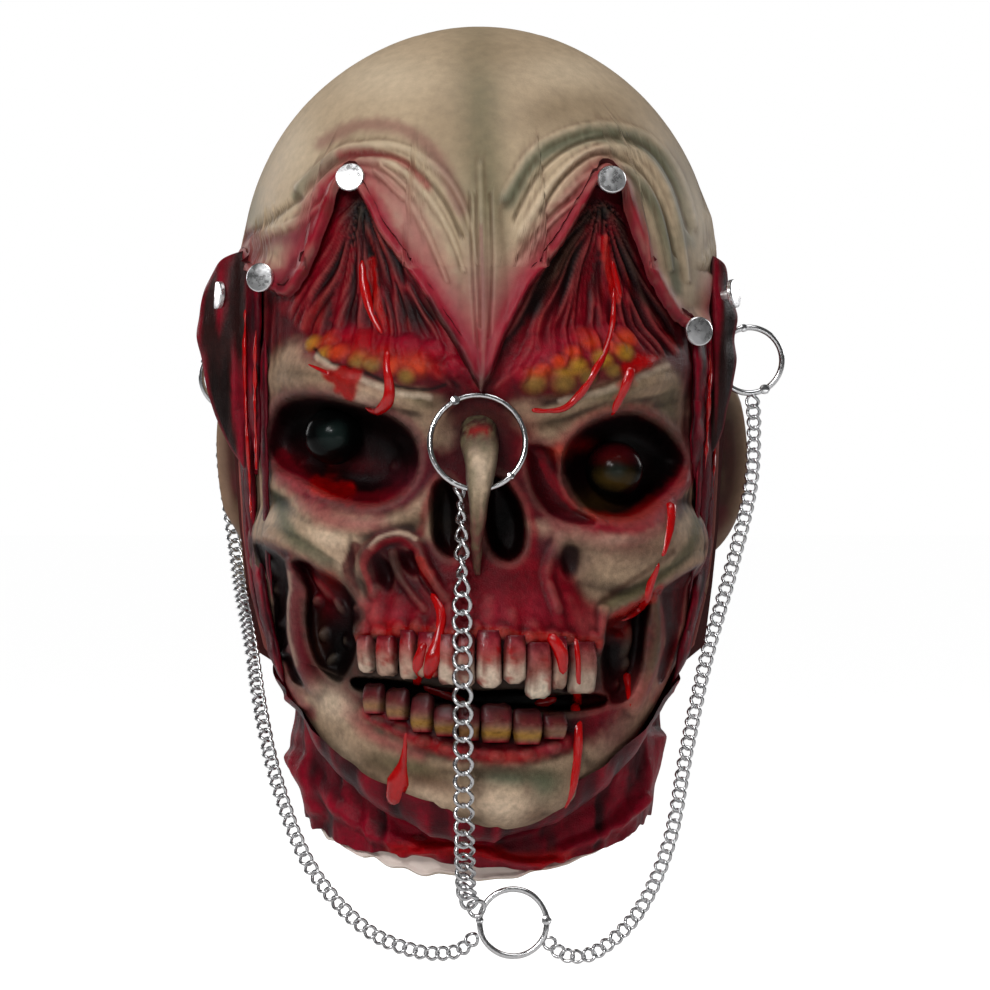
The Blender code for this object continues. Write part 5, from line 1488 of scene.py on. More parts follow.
# The ragged foot of the neck: turn in degrees, row.
NECK_FOOT = ((-110, 812), (-96, 818), (-84, 824), (-70, 834), (-58, 838), (-46, 848), (-34, 850), (-20, 856),
             (-8, 862), (4, 866), (16, 868), (26, 862), (36, 854), (48, 848), (60, 840), (72, 828), (84, 820),
             (96, 815), (110, 812))

NECK_RIDGES: tuple[Mark, ...] = (
    Ridge(((300, 760), (330, 800), (380, 836), (440, 852)), 12, 3.0),
    Ridge(((403, 856), (440, 846), (480, 850), (520, 862), (560, 860)), 7, 2.4),
    Ridge(((286, 700), (300, 760), (318, 812)), 11, 3.4),
    Ridge(((655, 740), (640, 790), (616, 826)), 12, 3.4),
    Ridge(((560, 850), (600, 832), (640, 800)), 10, 2.8),
)

NECK_PAINT: tuple[Mark, ...] = (
    # The bright red along the neck's foot is partly painted light, lifting it where the jaw's shadow falls.
    Stroke(((396, 850), (440, 846), (480, 852), (520, 860), (566, 856)), 14, BRIGHT_BLOOD, 0.75, 0.4,
           soft=0.9),
    Stroke(((470, 858), (500, 862), (530, 868)), 7, ROSE, 0.6, 0.4, soft=0.9),
    Stroke(((656, 742), (646, 780), (622, 824)), 13, CRIMSON, 0.65, 0.3, soft=0.9),
    Stroke(((292, 716), (304, 770), (322, 820)), 10, CRIMSON, 0.5, 0.3, soft=0.9),
)


@dataclass
class NeckFlesh:
    """The flayed neck under the jaw, in loose folds, and the bare hem that shows below it."""

    finishes: Finishes
    rows: int = 120
    columns: int = 300

    def build(self) -> list[bpy.types.Object]:
        """Shape and paint the neck and its hem."""
        turns = np.radians(np.linspace(-108.0, 108.0, self.columns))
        table = np.array(NECK_FOOT, float)
        foot = np.interp(np.degrees(turns), table[:, 0], table[:, 1])
        foot = foot + 4.0 * plane_noise(turns * 14, 0.0, 4)
        start = HEAD.level_of("chin") + 0.3
        last = HEAD.levels_at(turns, foot, np.linspace(HEAD.level_of("bite"), len(SECTIONS), 900))
        down = np.linspace(0, 1, self.rows)[:, None]
        land = Terrain(turns, start + (last - start) * down, MUSCLE)
        strand = land.stretched_noise(0.006, 0.02, 15)
        fold = land.stretched_noise(0.016, 0.05, 16)
        land.rise += 2.6 * (1.0 - np.abs(fold)) + 0.6 * strand - 0.5
        land.rise += 1.2 * fractal(land.base, 0.018, 17)
        land.sink += 2.0 * smooth(0.55, 0.95, land.facing) * smooth(1.0, 0.55, down)
        work(land, NECK_RIDGES)
        land.coat(smooth(0.0, 0.7, -strand) * 0.6, DARK_MUSCLE)
        land.coat(smooth(0.2, 0.9, strand + 0.4 * fold) * 0.5, CRIMSON)
        land.wet += 0.3
        # Painted shade just under the jaw, fading down the neck.
        land.coat(smooth(0.30, 0.0, down) * 0.25, BLACK)
        # Painted shade in the hollows and painted highlight on the ridges, at two sizes.
        land.wash_and_relief_shade(5, 1.6, DARK_MUSCLE, 0.6, CRIMSON, 0.9)
        land.wash_and_relief_shade(2, 0.5, BLACK, 0.5, CRIMSON, 0.5)
        land.coat(smooth(0.35, 0.8, down) * smooth(-0.3, 0.5, fold + 0.3 * strand) * 0.7, CRIMSON)
        work(land, NECK_PAINT)
        land.mottle(0.02, 19, 0.3)
        points = land.places()
        inner = points[-1] + grid_normals(points)[-2] * -2.6 * MM
        rows = (inner, inner + (0.0, 0.0, 0.006))
        # The turned-in rows get painted shade: 0.6 and 0.4 of the foot's paint.
        points, paint, wet = tucked(points, land.paint, land.wet, rows, (0.6, 0.4))
        faces = grid_faces(*points.shape[:2])
        flesh = painted_mesh("neck_flesh", points, faces, paint, wet, self.finishes.flesh)
        return [settle(flesh, Slot.LATEX), self.hem()]

    def hem(self) -> bpy.types.Object:
        """Make the bare latex hem round the neck, with its cut edge."""
        turns = np.radians(np.linspace(-180.0, 180.0, 241)[:-1])
        down = np.linspace(0.0, 1.0, 26)[:, None]
        land = Terrain(turns, np.linspace(HEAD.level_of("neck"), HEAD.level_of("hem"), len(down)), BARE)
        lift = down**2 * 1.6 * plane_noise(turns * 9, 0.0, 61)
        land.rise += -0.6 + 0.5 * fractal(land.base, 0.01, 62, 3)
        land.rise -= 1.6 * smooth(0.98, 0.80, down)
        land.coat(smooth(0.1, 0.6, fractal(land.base, 0.03, 63, 3)) * 0.8, PINK)
        land.coat(smooth(0.3, 0.6, fractal(land.base, 0.012, 64, 3)) * 0.8, CRIMSON)
        land.coat(smooth(0.45, 0.0, down), CRIMSON)
        points = land.places()
        points[..., 2] += lift * MM
        inner = points[-1] + grid_normals(points)[-2] * -2.0 * MM
        rows = (inner, inner + (0.0, 0.0, 0.012))
        points, paint, _ = tucked(points, land.paint, land.wet, rows, (0.0, 0.0))
        paint[-2:] = CREAM.linear()
        faces = grid_faces(*points.shape[:2], closed=True)
        return settle(painted_mesh("bare_hem", points, faces, paint, 0.0, self.finishes.bare), Slot.LATEX)


@dataclass
class InnerWall:
    """The plain inside of the casting, which follows its large forms."""

    finishes: Finishes
    inset: float = 4.6
    rows: int = 110
    columns: int = 150

    def build(self) -> bpy.types.Object:
        """Make the inside, facing the hollow."""
        turns = np.radians(np.linspace(-180.0, 180.0, self.columns + 1)[:-1])
        numbers = np.linspace(0.03, HEAD.level_of("hem") - 0.02, self.rows)
        land = Terrain(turns, numbers, CREAM)
        land.normal[:3] = (0.0, 0.0, 1.0)
        work(land, MAIN_FORMS)
        work(land, [mark for mark in FACE_MARKS if isinstance(mark, Hollow)])
        land.sink = blurred(spread(land.sink, 3), 1)
        land.rise = blurred(-spread(-land.rise, 3), 1) - self.inset
        land.mottle(0.03, 71, 0.12)
        points = land.places()
        top = points[:1].mean(axis=1, keepdims=True) * np.ones((1, self.columns, 1))
        points = np.concatenate([top, points])
        paint = np.concatenate([land.paint[:1], land.paint])
        faces = grid_faces(*points.shape[:2], closed=True)[:, ::-1]
        made = painted_mesh("inner_wall", points, faces, paint, 0.0, self.finishes.bare)
        return settle(made, Slot.LATEX)


class Surface:
    """Reads where the front of finished pieces lies."""

    def __init__(self, pieces: Sequence[bpy.types.Object]) -> None:
        """Gather the pieces' faces for reading."""
        points: list[Vector] = []
        faces: list[tuple[int, ...]] = []
        for piece in pieces:
            shift = len(points)
            points += [vertex.co.copy() for vertex in piece.data.vertices]
            faces += [tuple(i + shift for i in polygon.vertices) for polygon in piece.data.polygons]
        self.tree = BVHTree.FromPolygons(points, faces)

    def front(self, x: float, y: float) -> Vector:
        """Find the surface seen from straight ahead at a column and a row."""
        start = Vector((VIEW.across(x), -0.3, VIEW.height(y)))
        hit, _, _, _ = self.tree.ray_cast(start, Vector((0.0, 1.0, 0.0)))
        return hit if hit is not None else Vector((start.x, -0.02, start.z))


@dataclass(frozen=True)
class Run:
    """A run of blood: the way it takes down the face and its half widths in millimetres."""

    points: tuple[Point, ...]
    widths: tuple[float, ...]


BLOOD_RUNS = (
    Run(((388, 352), (389, 372), (391, 392), (388, 404), (378, 411), (366, 408)), (1.6, 1.9, 2.4, 2.8, 2.2,
        0.8)),
    Run(((309, 365), (320, 370), (332, 376)), (0.3, 0.8, 1.2)),
    Run(((613, 290), (612, 322), (605, 350), (594, 372), (580, 394), (564, 409), (546, 412), (531, 411)),
        (0.9, 1.3, 1.3, 1.6, 1.8, 1.4, 0.9, 1.5)),
    Run(((630, 368), (624, 386), (616, 404), (610, 416)), (2.6, 2.4, 1.8, 0.8)),
    Run(((670, 502), (668, 526), (664, 548), (661, 556)), (3.0, 2.6, 1.4, 0.9)),
    Run(((658, 562), (650, 582), (644, 600), (634, 612), (620, 620)), (1.0, 1.9, 2.2, 1.6, 0.8)),
    Run(((407, 728), (406, 744), (404, 760), (400, 778), (396, 794), (391, 808)), (0.7, 0.8, 2.0, 5.2, 4.2,
        0.8)),
    Run(((574, 700), (577, 734), (575, 760), (571, 784), (564, 806)), (2.6, 2.2, 2.4, 2.2, 0.8)),
    Run(((432, 592), (442, 610), (440, 632), (434, 656), (428, 676)), (1.4, 2.4, 2.0, 3.4, 2.2)),
    Run(((426, 640), (420, 660), (418, 684)), (1.6, 2.8, 2.0)),
    Run(((548, 632), (560, 650), (562, 672)), (2.2, 3.0, 1.6)),
    Run(((574, 636), (577, 660), (576, 690), (577, 704)), (1.4, 1.2, 1.8, 2.6)),
    Run(((626, 672), (628, 690), (629, 706)), (2.0, 1.3, 0.7)),
    Run(((363, 262), (366, 290), (374, 318), (384, 336)), (1.4, 2.4, 1.7, 0.8)),
    Run(((611, 262), (616, 284), (620, 300)), (0.9, 1.6, 0.8)),
    Run(((466, 700), (450, 694), (436, 688), (424, 684)), (1.2, 2.0, 2.4, 1.4)),
    Run(((534, 702), (546, 700), (556, 696)), (1.2, 2.2, 1.2)),
)


@dataclass
class Blood:
    """Thick red runs that stand on the face."""

    surface: Surface
    finishes: Finishes
    thick: float = 0.72

    def build(self) -> bpy.types.Object:
        """Lay each run on the surface and join them into one piece."""
        made = []
        for index, run in enumerate(BLOOD_RUNS):
            line = curve_through(run.points, 5)
            places = np.array([self.surface.front(x, y) for x, y in line])
            places[:, 1] = blurred(places[:, 1:2], 1)[:, 0]
            colours = (BRIGHT_BLOOD, BLOOD, BRIGHT_BLOOD)
            strand = Ribbon(places, run.widths, self.thick, 14, 1, 0.25, 80 + index, colours, 1.0)
            made.append(strand.build(f"run_{index}", self.finishes.blood))
        return settle(joined("blood_runs", made), Slot.LATEX)


@dataclass(frozen=True)
class Tooth:
    """One tooth as seen from the front: its left and right columns, and its root and tip rows."""

    left: float
    right: float
    root: float
    tip: float
    blood: float = 0.3
    pale: float = 0.5


UPPER_TEETH = (
    Tooth(360, 378, 634, 670, 0.25, 0.45), Tooth(378, 400, 634, 673, 0.8, 0.1),
    Tooth(402, 419, 628, 676, 0.8, 0.2), Tooth(419, 441, 630, 674, 1.0, 0.0),
    Tooth(440, 457, 632, 681, 0.45, 0.6), Tooth(457, 476, 632, 682, 0.5, 0.5),
    Tooth(477, 501, 628, 684, 0.95, 0.7), Tooth(503, 525, 633, 680, 0.8, 0.5),
    Tooth(524, 550, 640, 695, 0.6, 1.0), Tooth(549, 565, 634, 686, 1.0, 0.1),
    Tooth(564, 596, 640, 691, 0.35, 0.5),
)
LOWER_TEETH = (
    Tooth(365, 388, 711, 682, 0.7, 0.4), Tooth(388, 412, 717, 686, 0.3, 0.5),
    Tooth(413, 435, 729, 691, 0.3, 0.9), Tooth(436, 458, 733, 702, 0.6, 0.8),
    Tooth(459, 480, 737, 702, 0.6, 0.6), Tooth(481, 511, 739, 701, 0.8, 1.0),
    Tooth(512, 541, 741, 706, 0.8, 1.0), Tooth(541, 565, 736, 710, 0.9, 0.2),
)


@dataclass
class Teeth:
    """Both rows of teeth, each tooth a rounded tapering form set in the gum."""

    surface: Surface
    finishes: Finishes
    rings: int = 20
    sides: int = 24
    depth: float = 7.0

    def build(self) -> list[bpy.types.Object]:
        """Make the upper and the lower row."""
        made = []
        for name, row, tip in (("upper_teeth", UPPER_TEETH, TOOTH_TIP), ("lower_teeth", LOWER_TEETH, YELLOW)):
            parts = [self.tooth(f"{name}_{i}", tooth, tip, i) for i, tooth in enumerate(row)]
            made.append(settle(joined(name, parts), Slot.LATEX))
        return made

    def bed(self, x: float) -> float:
        """Give how far forward the row of teeth runs at a column, on a smooth arch."""
        across = VIEW.across(x)
        return -0.1165 + 9.0 * across * across

    def tooth(self, name: str, tooth: Tooth, tip: Tint, seed: int) -> bpy.types.Object:
        """Shape and paint one tooth.

        Args:
            name: its name.
            tooth: its place and wear.
            tip: the colour of its biting end or its root's foot.
            seed: picks its small bumps.

        Returns:
            The tooth.
        """
        upper = tooth.tip > tooth.root
        run = np.linspace(0.0, 1.0, self.rings)
        rows = tooth.root + (tooth.tip - tooth.root) * run
        centre = (tooth.left + tooth.right) / 2
        half = (tooth.right - tooth.left) / 2 * VIEW.pixel
        swell = (0.98 + 0.08 * run) if upper else (0.92 + 0.14 * np.sin(run * math.pi * 0.8))
        closing = np.sqrt(np.clip(1.0 - np.clip((run - 0.90) / 0.10, 0, 1) ** 2 * 0.6, 0.0, 1.0))
        wide = half * swell * closing
        deep = self.depth * MM / 2 * (1.0 - 0.45 * run) * closing
        turn = np.linspace(0.0, 2 * math.pi, self.sides, endpoint=False)
        shape_x = np.sign(np.cos(turn)) * np.abs(np.cos(turn)) ** 0.6
        shape_y = np.sign(np.sin(turn)) * np.abs(np.sin(turn)) ** 0.85
        points = np.zeros((self.rings, self.sides, 3))
        lean = math.atan(18.0 * VIEW.across(centre))
        root_y = self.surface.front(centre, tooth.root).y + 1.5 * MM
        tip_y = self.bed(centre) + (0.0 if upper else 2.4 * MM)
        middle_y = (root_y + (tip_y - root_y) * smooth(0.0, 0.5, run))[:, None]
        bulge = 1.5 * MM * np.sin(run * math.pi)
        local_x = wide[:, None] * shape_x[None, :]
        local_y = deep[:, None] * shape_y[None, :] - bulge[:, None] * (shape_y < 0)
        points[..., 0] = VIEW.across(centre) + local_x * math.cos(lean) - local_y * math.sin(lean)
        points[..., 1] = middle_y + local_x * math.sin(lean) + local_y * math.cos(lean)
        points[..., 2] = VIEW.height(rows)[:, None]
        points[..., 2] += 0.5 * MM * np.cos(turn * 2 + seed)[None, :] * (run[:, None] > 0.9)
        bumps = fractal(points, 0.004, seed + 300, 3)
        points[..., 0] += 0.5 * MM * fractal(points, 0.009, seed + 310, 2)
        points[..., 1] -= 0.35 * MM * bumps * (shape_y < 0)
        grain = value_noise(points * np.array([900.0, 900.0, 160.0]), seed + 9)
        share = run[:, None]
        spatter = smooth(0.05, 0.35, fractal(points, 0.005, seed + 40))
        if upper:
            covers = [(smooth(0.40, 0.75, share + 0.1 * grain) * tooth.pale, tip),
                      (smooth(0.95, 0.1, share + 0.25 * grain) * tooth.blood, BLOOD),
                      (smooth(0.75, 0.1, share) * 0.6, ROSE),
                      (spatter * (0.3 + 0.6 * tooth.blood), BLOOD),
                      (smooth(0.25, 0.02, share + 0.1 * grain) * 0.9, MUSCLE)]
        else:
            # The lower teeth's dark maroon is partly painted shade under the upper row, and the black at their
            # tips is painted shade.
            covers = [(0.55 + 0.4 * smooth(0.3, 0.65, share + 0.1 * grain), MUSCLE),
                      (np.exp(-((share - 0.24) / 0.15) ** 2) * tooth.pale * 0.8, tip),
                      (smooth(0.16, 0.0, share) * 0.95, CRIMSON), (smooth(0.6, 1.0, share) * 0.8, BLACK)]
        # Painted shade down each tooth's sides, where it meets its neighbours.
        covers += [(smooth(0.6, 1.0, np.abs(shape_x)) * 0.6, DARK_MUSCLE),
                   (smooth(0.2, 0.7, -grain) * 0.35, BROWN)]
        paint = layered(TOOTH.linear(), covers)
        wet = np.clip(0.25 + tooth.blood * smooth(0.9, 0.2, share), 0.0, 1.0)
        return closed_form(name, points, paint, wet, self.finishes.enamel)


@dataclass
class Eyeball:
    """One sunken, clouded eyeball."""

    finishes: Finishes
    name: str
    x: float
    y: float
    back: float
    warm: bool = False
    radius: float = 0.0125

    def build(self) -> bpy.types.Object:
        """Make and paint the ball, its clouded front facing out and a little down."""
        rings, sides = 40, 56
        polar = np.linspace(0.02, math.pi - 0.02, rings)
        turn = np.linspace(0.0, 2 * math.pi, sides, endpoint=False)
        x = np.sin(polar)[:, None] * np.cos(turn)[None, :]
        z = -np.sin(polar)[:, None] * np.sin(turn)[None, :]
        y = -np.cos(polar)[:, None] * np.ones((1, sides))
        unit = np.stack([x, y, z], axis=-1)
        bulge = 1.0 + 0.06 * smooth(0.75, 1.0, -y)
        centre = np.array([VIEW.across(self.x), self.back, VIEW.height(self.y)])
        points = centre + unit * self.radius * bulge[..., None]
        cloud = fractal(points, 0.008, 91, 4)
        share = polar[:, None] / math.pi + 0.06 * cloud
        covers = [(smooth(0.24, 0.06, share) * 0.6, EYE_CLOUD)]
        if self.warm:
            covers = [(smooth(0.5, 0.25, share) * smooth(0.0, 0.6, z) * 0.35, CRIMSON),
                      (smooth(0.30, 0.10, share) * smooth(0.0, 0.4, z) * 0.12, ORANGE),
                      (smooth(0.34, 0.14, share) * smooth(0.3, -0.5, z) * 0.5, FAT_OLIVE),
                      (smooth(0.16, 0.02, share) * 0.6, EYE_CLOUD)]
        paint = layered(EYE_DARK.linear(), covers) * 0.4
        return settle(closed_form(self.name, points, paint, 0.9, self.finishes.eye), Slot.LATEX)


@dataclass
class NoseBone:
    """The bare bone that runs down between the nose cavities, in front of the ring's wire."""

    finishes: Finishes
    # column, row, half width and depth in pixels, and how far forward in millimetres
    stations: tuple[tuple[float, ...], ...] = (
        (478, 402, 10, 14, 96.0), (478, 414, 14, 16, 104.5), (479, 428, 18, 17, 112.5),
        (480, 446, 19, 17, 119.5), (481, 462, 16, 15, 123.0), (480, 480, 14, 13, 124.0),
        (479, 500, 10, 12, 123.5), (478, 520, 8, 11, 121.5), (477, 540, 6, 11, 118.0),
        (477, 556, 5, 10, 113.0), (478, 574, 3, 7, 106.0),
    )

    def build(self) -> bpy.types.Object:
        """Loft and paint the bone."""
        line = curve_through(self.stations, 6)
        turn = np.linspace(0.0, 2 * math.pi, 36, endpoint=False)
        across = np.sign(np.cos(turn)) * np.abs(np.cos(turn)) ** 0.8
        out = np.sin(turn)
        points = np.zeros((len(line), len(turn), 3))
        points[..., 0] = VIEW.across(line[:, 0])[:, None] + (line[:, 2] * VIEW.pixel)[:, None] * across
        points[..., 1] = (-line[:, 4] * MM)[:, None] + (line[:, 3] * VIEW.pixel)[:, None] * (1.0 - out)
        points[..., 2] = VIEW.height(line[:, 1])[:, None]
        bumps = fractal(points, 0.008, 131, 4)
        points[..., 1] -= 0.7 * MM * bumps
        points[..., 0] += 0.5 * MM * fractal(points, 0.006, 133, 3)
        rows = line[:, 1:2]
        side = np.abs(np.cos(turn))
        grain = value_noise(points * np.array([700.0, 700.0, 120.0]), 137)
        # The bone's sides and its top under the brow are darkened as painted shade, and its front near row 470
        # gets a painted highlight.
        covers = (
            (smooth(0.45, 0.98, side) * 0.8, DARK_MUSCLE),
            (smooth(462, 432, rows + 8 * bumps) * 0.95, DARK_MUSCLE),
            (np.exp(-((rows - 432) / 6.0) ** 2) * smooth(0.8, 0.3, side) * 0.7, BLOOD),
            (np.exp(-((rows - 446) / 6.0) ** 2) * 0.6, BONE_SHADE),
            (np.exp(-((rows - 470) / 16.0) ** 2) * smooth(0.7, 0.2, side) * 0.35, BONE_LIGHT),
            (smooth(490, 530, rows) * 0.85, MUSCLE), (smooth(-0.3, 0.6, -grain) * 0.6, OLIVE),
        )
        made = closed_form("nose_bone", points, layered(BONE.linear(), covers), 0.3, self.finishes.flesh)
        return settle(made, Slot.LATEX)


@dataclass
class Ear:
    """One ear: a flaring plate with a rolled rim and a hollow."""

    side: int
    finishes: Finishes
    height: float = 0.084
    depth: float = 0.048
    thickness: float = 0.017
    flare: float = math.radians(50.0)
    lean: float = math.radians(6.0)
    root: tuple[float, float] = (0.0985, 0.012)
    drop: float = 0.188

    def build(self) -> bpy.types.Object:
        """Shape and paint the ear."""
        rings, sides = 34, 72
        reach = np.linspace(0.0, 1.0, rings)[:, None]
        turn = np.linspace(0.0, 2 * math.pi, sides, endpoint=False)[None, :]
        back = np.cos(turn) * reach * (1.0 - 0.16 * np.sin(turn) * (np.sin(turn) < 0))
        up = np.sin(turn) * reach
        lobe = smooth(-0.5, -0.95, up)
        rim = np.exp(-((reach - 0.84) / 0.13) ** 2) * smooth(-0.75, -0.2, up + 0.25 * back)
        inner = np.exp(-((np.hypot(back + 0.15, (up - 0.02) * 0.72) - 0.40) / 0.10) ** 2)
        bowl = smooth(0.42, 0.05, np.hypot(back + 0.25, (up + 0.08) * 0.7))
        front = 0.30 * np.sqrt(np.clip(1.0 - reach**2, 0, 1)) + 0.42 * rim + 0.20 * inner - 0.55 * bowl
        front = front + 0.10 * lobe * (1.0 - reach)
        rear = (-0.55 * np.sqrt(np.clip(1.0 - reach**2, 0.0, 1.0)) - 0.05) * np.ones(up.shape)
        plates = [np.stack([self.side * plate * self.thickness * 0.62, back * self.depth / 2,
                            up * self.height / 2], axis=-1) for plate in (front, rear)]
        points = np.concatenate([plates[0], plates[1][::-1][1:]])
        points = points + (0.4 * MM * fractal(points, 0.01, 141, 3))[..., None]
        # Painted shade fills the hollow inside the rim, and the rim gets a painted highlight in skin colour.
        shadow = smooth(0.86, 0.62, np.hypot(back, up * 0.85))
        inner_shade = np.concatenate([shadow, np.zeros(rear.shape)[1:]])
        rim_highlight = np.concatenate([rim, np.zeros(rear.shape)[1:]])
        turned = (Matrix.Translation((self.side * self.root[0], self.root[1], VIEW.crown_z - self.drop))
                  @ Matrix.Rotation(self.side * -self.flare, 4, "Z")
                  @ Matrix.Rotation(self.side * self.lean, 4, "Y"))
        matrix = np.array(turned)
        points = points @ matrix[:3, :3].T + matrix[:3, 3]
        noise = fractal(points, 0.015, 151, 4)
        paint = layered(SKIN_SHADE.linear(), (
            (inner_shade * 0.85, BLACK), (smooth(0.0, 0.5, noise) * 0.5, OLIVE),
            (rim_highlight * 0.6, SKIN), (smooth(0.1, 0.6, -noise) * 0.45, MAUVE),
            (smooth(-0.2, 0.7, points[..., 1] * 20) * 0.5, MUSCLE)))
        name = "left_ear" if self.side > 0 else "right_ear"
        made = closed_form(name, points, paint, 0.2, self.finishes.skin, ends=False)
        return settle(made, Slot.LATEX)


# Temple flaps from top to bottom: row, reach in millimetres, curl of the free edge, thickness.
FLAP_STATIONS = {
    -1: ((246, 3, 0.0, 2.4), (258, 17, 1.0, 2.8), (282, 22, 3.0, 3.2), (312, 25, 4.0, 3.4),
         (345, 24, 4.0, 3.4), (378, 22, 4.0, 3.2), (410, 19, 3.0, 3.0), (440, 14, 2.0, 2.6),
         (464, 7, 1.0, 2.0), (474, 2, 0.0, 1.6)),
    1: ((250, 3, 0.0, 2.4), (262, 10, 1.0, 2.8), (290, 13, 3.0, 3.0), (318, 16, 4.0, 3.2),
        (350, 15, 4.0, 3.2), (386, 13, 3.0, 3.0), (420, 10, 2.0, 2.6), (446, 6, 1.0, 2.0),
        (456, 2, 0.0, 1.6)),
}


@dataclass
class TempleFlap:
    """Skin torn off the temple that stands out to the side, raw in front."""

    side: int
    finishes: Finishes
    setback: float = -0.030

    def build(self) -> bpy.types.Object:
        """Shape and paint the flap."""
        line = curve_through(FLAP_STATIONS[self.side], 10)
        rows, wide = len(line), 26
        share = np.linspace(-0.25, 1.0, wide)[None, :]
        base_turn = np.full(1, self.side * math.radians(104.0))
        numbers = np.linspace(0.2, 6.0, 500)
        column = HEAD.surface(base_turn, numbers)[:, 0]
        root_x = np.interp(line[:, 0], VIEW.row(column[:, 2]), np.abs(column[:, 0]))[:, None]
        seed = 160 + self.side
        reach = (line[:, 1] + 1.6 * plane_noise(line[:, 0] / 24.0, 0.0, seed))[:, None] * MM
        across = root_x - 0.002 + reach * share
        curl = line[:, 2][:, None] * MM
        out = np.clip(share, 0, 1)
        middle = self.setback - curl * np.sin(out * math.pi) + curl * 1.5 * out**3
        half = (line[:, 3][:, None] * MM / 2) * (1.0 - 0.45 * out**4)
        height = VIEW.height(line[:, 0])[:, None] * np.ones(share.shape)
        sheets = [np.stack([self.side * across, middle + face * half, height], axis=-1) for face in (-1, 1)]
        points = np.concatenate([sheets[0], sheets[1][:, ::-1]], axis=1)
        wrinkle = fractal(points, 0.012, seed + 5, 4)
        grain = value_noise(points * np.array([330.0, 0.0, 26.0]), seed + 7)
        points[..., 1] += MM * (0.7 * wrinkle + 1.1 * grain)
        front = np.concatenate([np.ones((rows, wide)), np.zeros((rows, wide))], axis=1)
        both = np.concatenate([share * np.ones((rows, 1)), share[:, ::-1] * np.ones((rows, 1))], axis=1)
        paint = layered(SKIN_SHADE.linear(), (
            (front * 0.97, DARK_MUSCLE), (front * smooth(0.1, 0.8, -grain) * 0.8, CRIMSON),
            (front * smooth(0.3, 0.8, grain) * 0.7, BLACK), (smooth(0.90, 1.0, both) * 0.6, CRIMSON)))
        name = "left_temple_flap" if self.side > 0 else "right_temple_flap"
        faces = grid_faces(rows, 2 * wide, closed=True)
        made = painted_mesh(name, points, faces, paint, 0.2 + 0.3 * front, self.finishes.flesh)
        ends = [[start + i, start + i + 1, start + 2 * wide - 2 - i, start + 2 * wide - 1 - i]
                for start in (0, (rows - 1) * 2 * wide) for i in range(wide - 1)]
        return settle(closed_up(made, ends), Slot.LATEX)


@dataclass
class SideStrips:
    """Strips of raw muscle that run down each side of the face, with blood on them."""

    finishes: Finishes
    # top row, bottom row, turn at the top and the bottom in degrees, half width in millimetres
    table: tuple[tuple[float, ...], ...] = (
        (262, 470, -72, -70, 7.5), (270, 560, -80, -78, 8.2), (276, 660, -87, -84, 7.5),
        (300, 640, -94, -88, 6.5), (330, 600, -64, -66, 3.2), (540, 690, -76, -70, 6.4),
        (320, 480, 70, 68, 7.2), (300, 560, 77, 76, 8.0), (280, 650, 85, 82, 7.5),
        (300, 640, 93, 88, 6.5), (350, 600, 72, 70, 3.0), (540, 690, 80, 72, 6.4),
    )
    streaks: tuple[tuple[float, ...], ...] = (
        (300, 520, -75, -72, 1.3), (330, 470, -66, -67, 1.2), (268, 322, -80, -79, 4.6),
        (340, 470, 73, 71, 1.3), (380, 500, 81, 80, 1.1),
    )

    def strand(self, row: tuple[float, ...], name: str, lift: float, colours: tuple[Tint, ...],
               wet: float, seed: int, finish: bpy.types.Material) -> bpy.types.Object:
        """Lay one strip along the side of the head."""
        top, bottom, first, last, half = row
        rows = np.linspace(top, bottom, 9)
        turns = np.radians(np.linspace(first, last, 9))
        levels = HEAD.levels_at(turns, rows, np.linspace(0.3, HEAD.level_of("under jaw"), 700))
        places = HEAD.surface(turns, levels[None, :])[0]
        places[:, 0] += np.sin(turns) * lift * MM
        places[:, 1] += (2.2 * np.sin(np.arange(len(rows)) * 1.9 + seed) - lift * np.cos(turns)) * MM
        middle = math.radians((first + last) / 2)
        radii = (0.5, half * 0.9, half, half * 0.85, half, half * 0.8, half * 0.9, half * 0.6, 0.5)
        strip = Ribbon(places, radii, 0.36 if half > 2 else 0.6, 14, 8, 1.3, seed, colours, wet,
                       (math.sin(middle), -math.cos(middle), 0.0))
        return strip.build(name, finish)

    def build(self) -> list[bpy.types.Object]:
        """Make the strips and the blood on them."""
        raw = (MUSCLE, DARK_MUSCLE, CRIMSON)
        red = (BRIGHT_BLOOD, BLOOD, BRIGHT_BLOOD)
        strips = [self.strand(row, f"strip_{i}", 0.4, raw, 0.55, 170 + i, self.finishes.flesh)
                  for i, row in enumerate(self.table)]
        wet = [self.strand(row, f"streak_{i}", 3.1, red, 1.0, 190 + i, self.finishes.blood)
               for i, row in enumerate(self.streaks)]
        return [settle(joined("side_muscles", strips), Slot.LATEX),
                settle(joined("side_blood", wet), Slot.LATEX)]


def lathe(name: str, profile: Sequence[Point], centre: Vector, axis: Vector, sides: int,
          finish: bpy.types.Material) -> bpy.types.Object:
    """Turn a profile into a solid.

    Args:
        name: the piece's name.
        profile: how far along the axis and how far out of it, from end to end.
        centre: where the axis starts.
        axis: its direction.
        sides: how many faces go round.
        finish: the material.

    Returns:
        The new object.
    """
    turn = np.array(Vector((0.0, 0.0, 1.0)).rotation_difference(axis).to_matrix())
    angle = np.arange(sides) * 2 * math.pi / sides
    along, out = np.array(profile).T[:, :, None]
    local = np.stack(np.broadcast_arrays(out * np.cos(angle), out * np.sin(angle), along), axis=-1)
    made = closed_form(name, local @ turn.T + np.array(centre), None, 0.0, finish)
    made.data.set_sharp_from_angle(angle=math.radians(40.0))
    return made


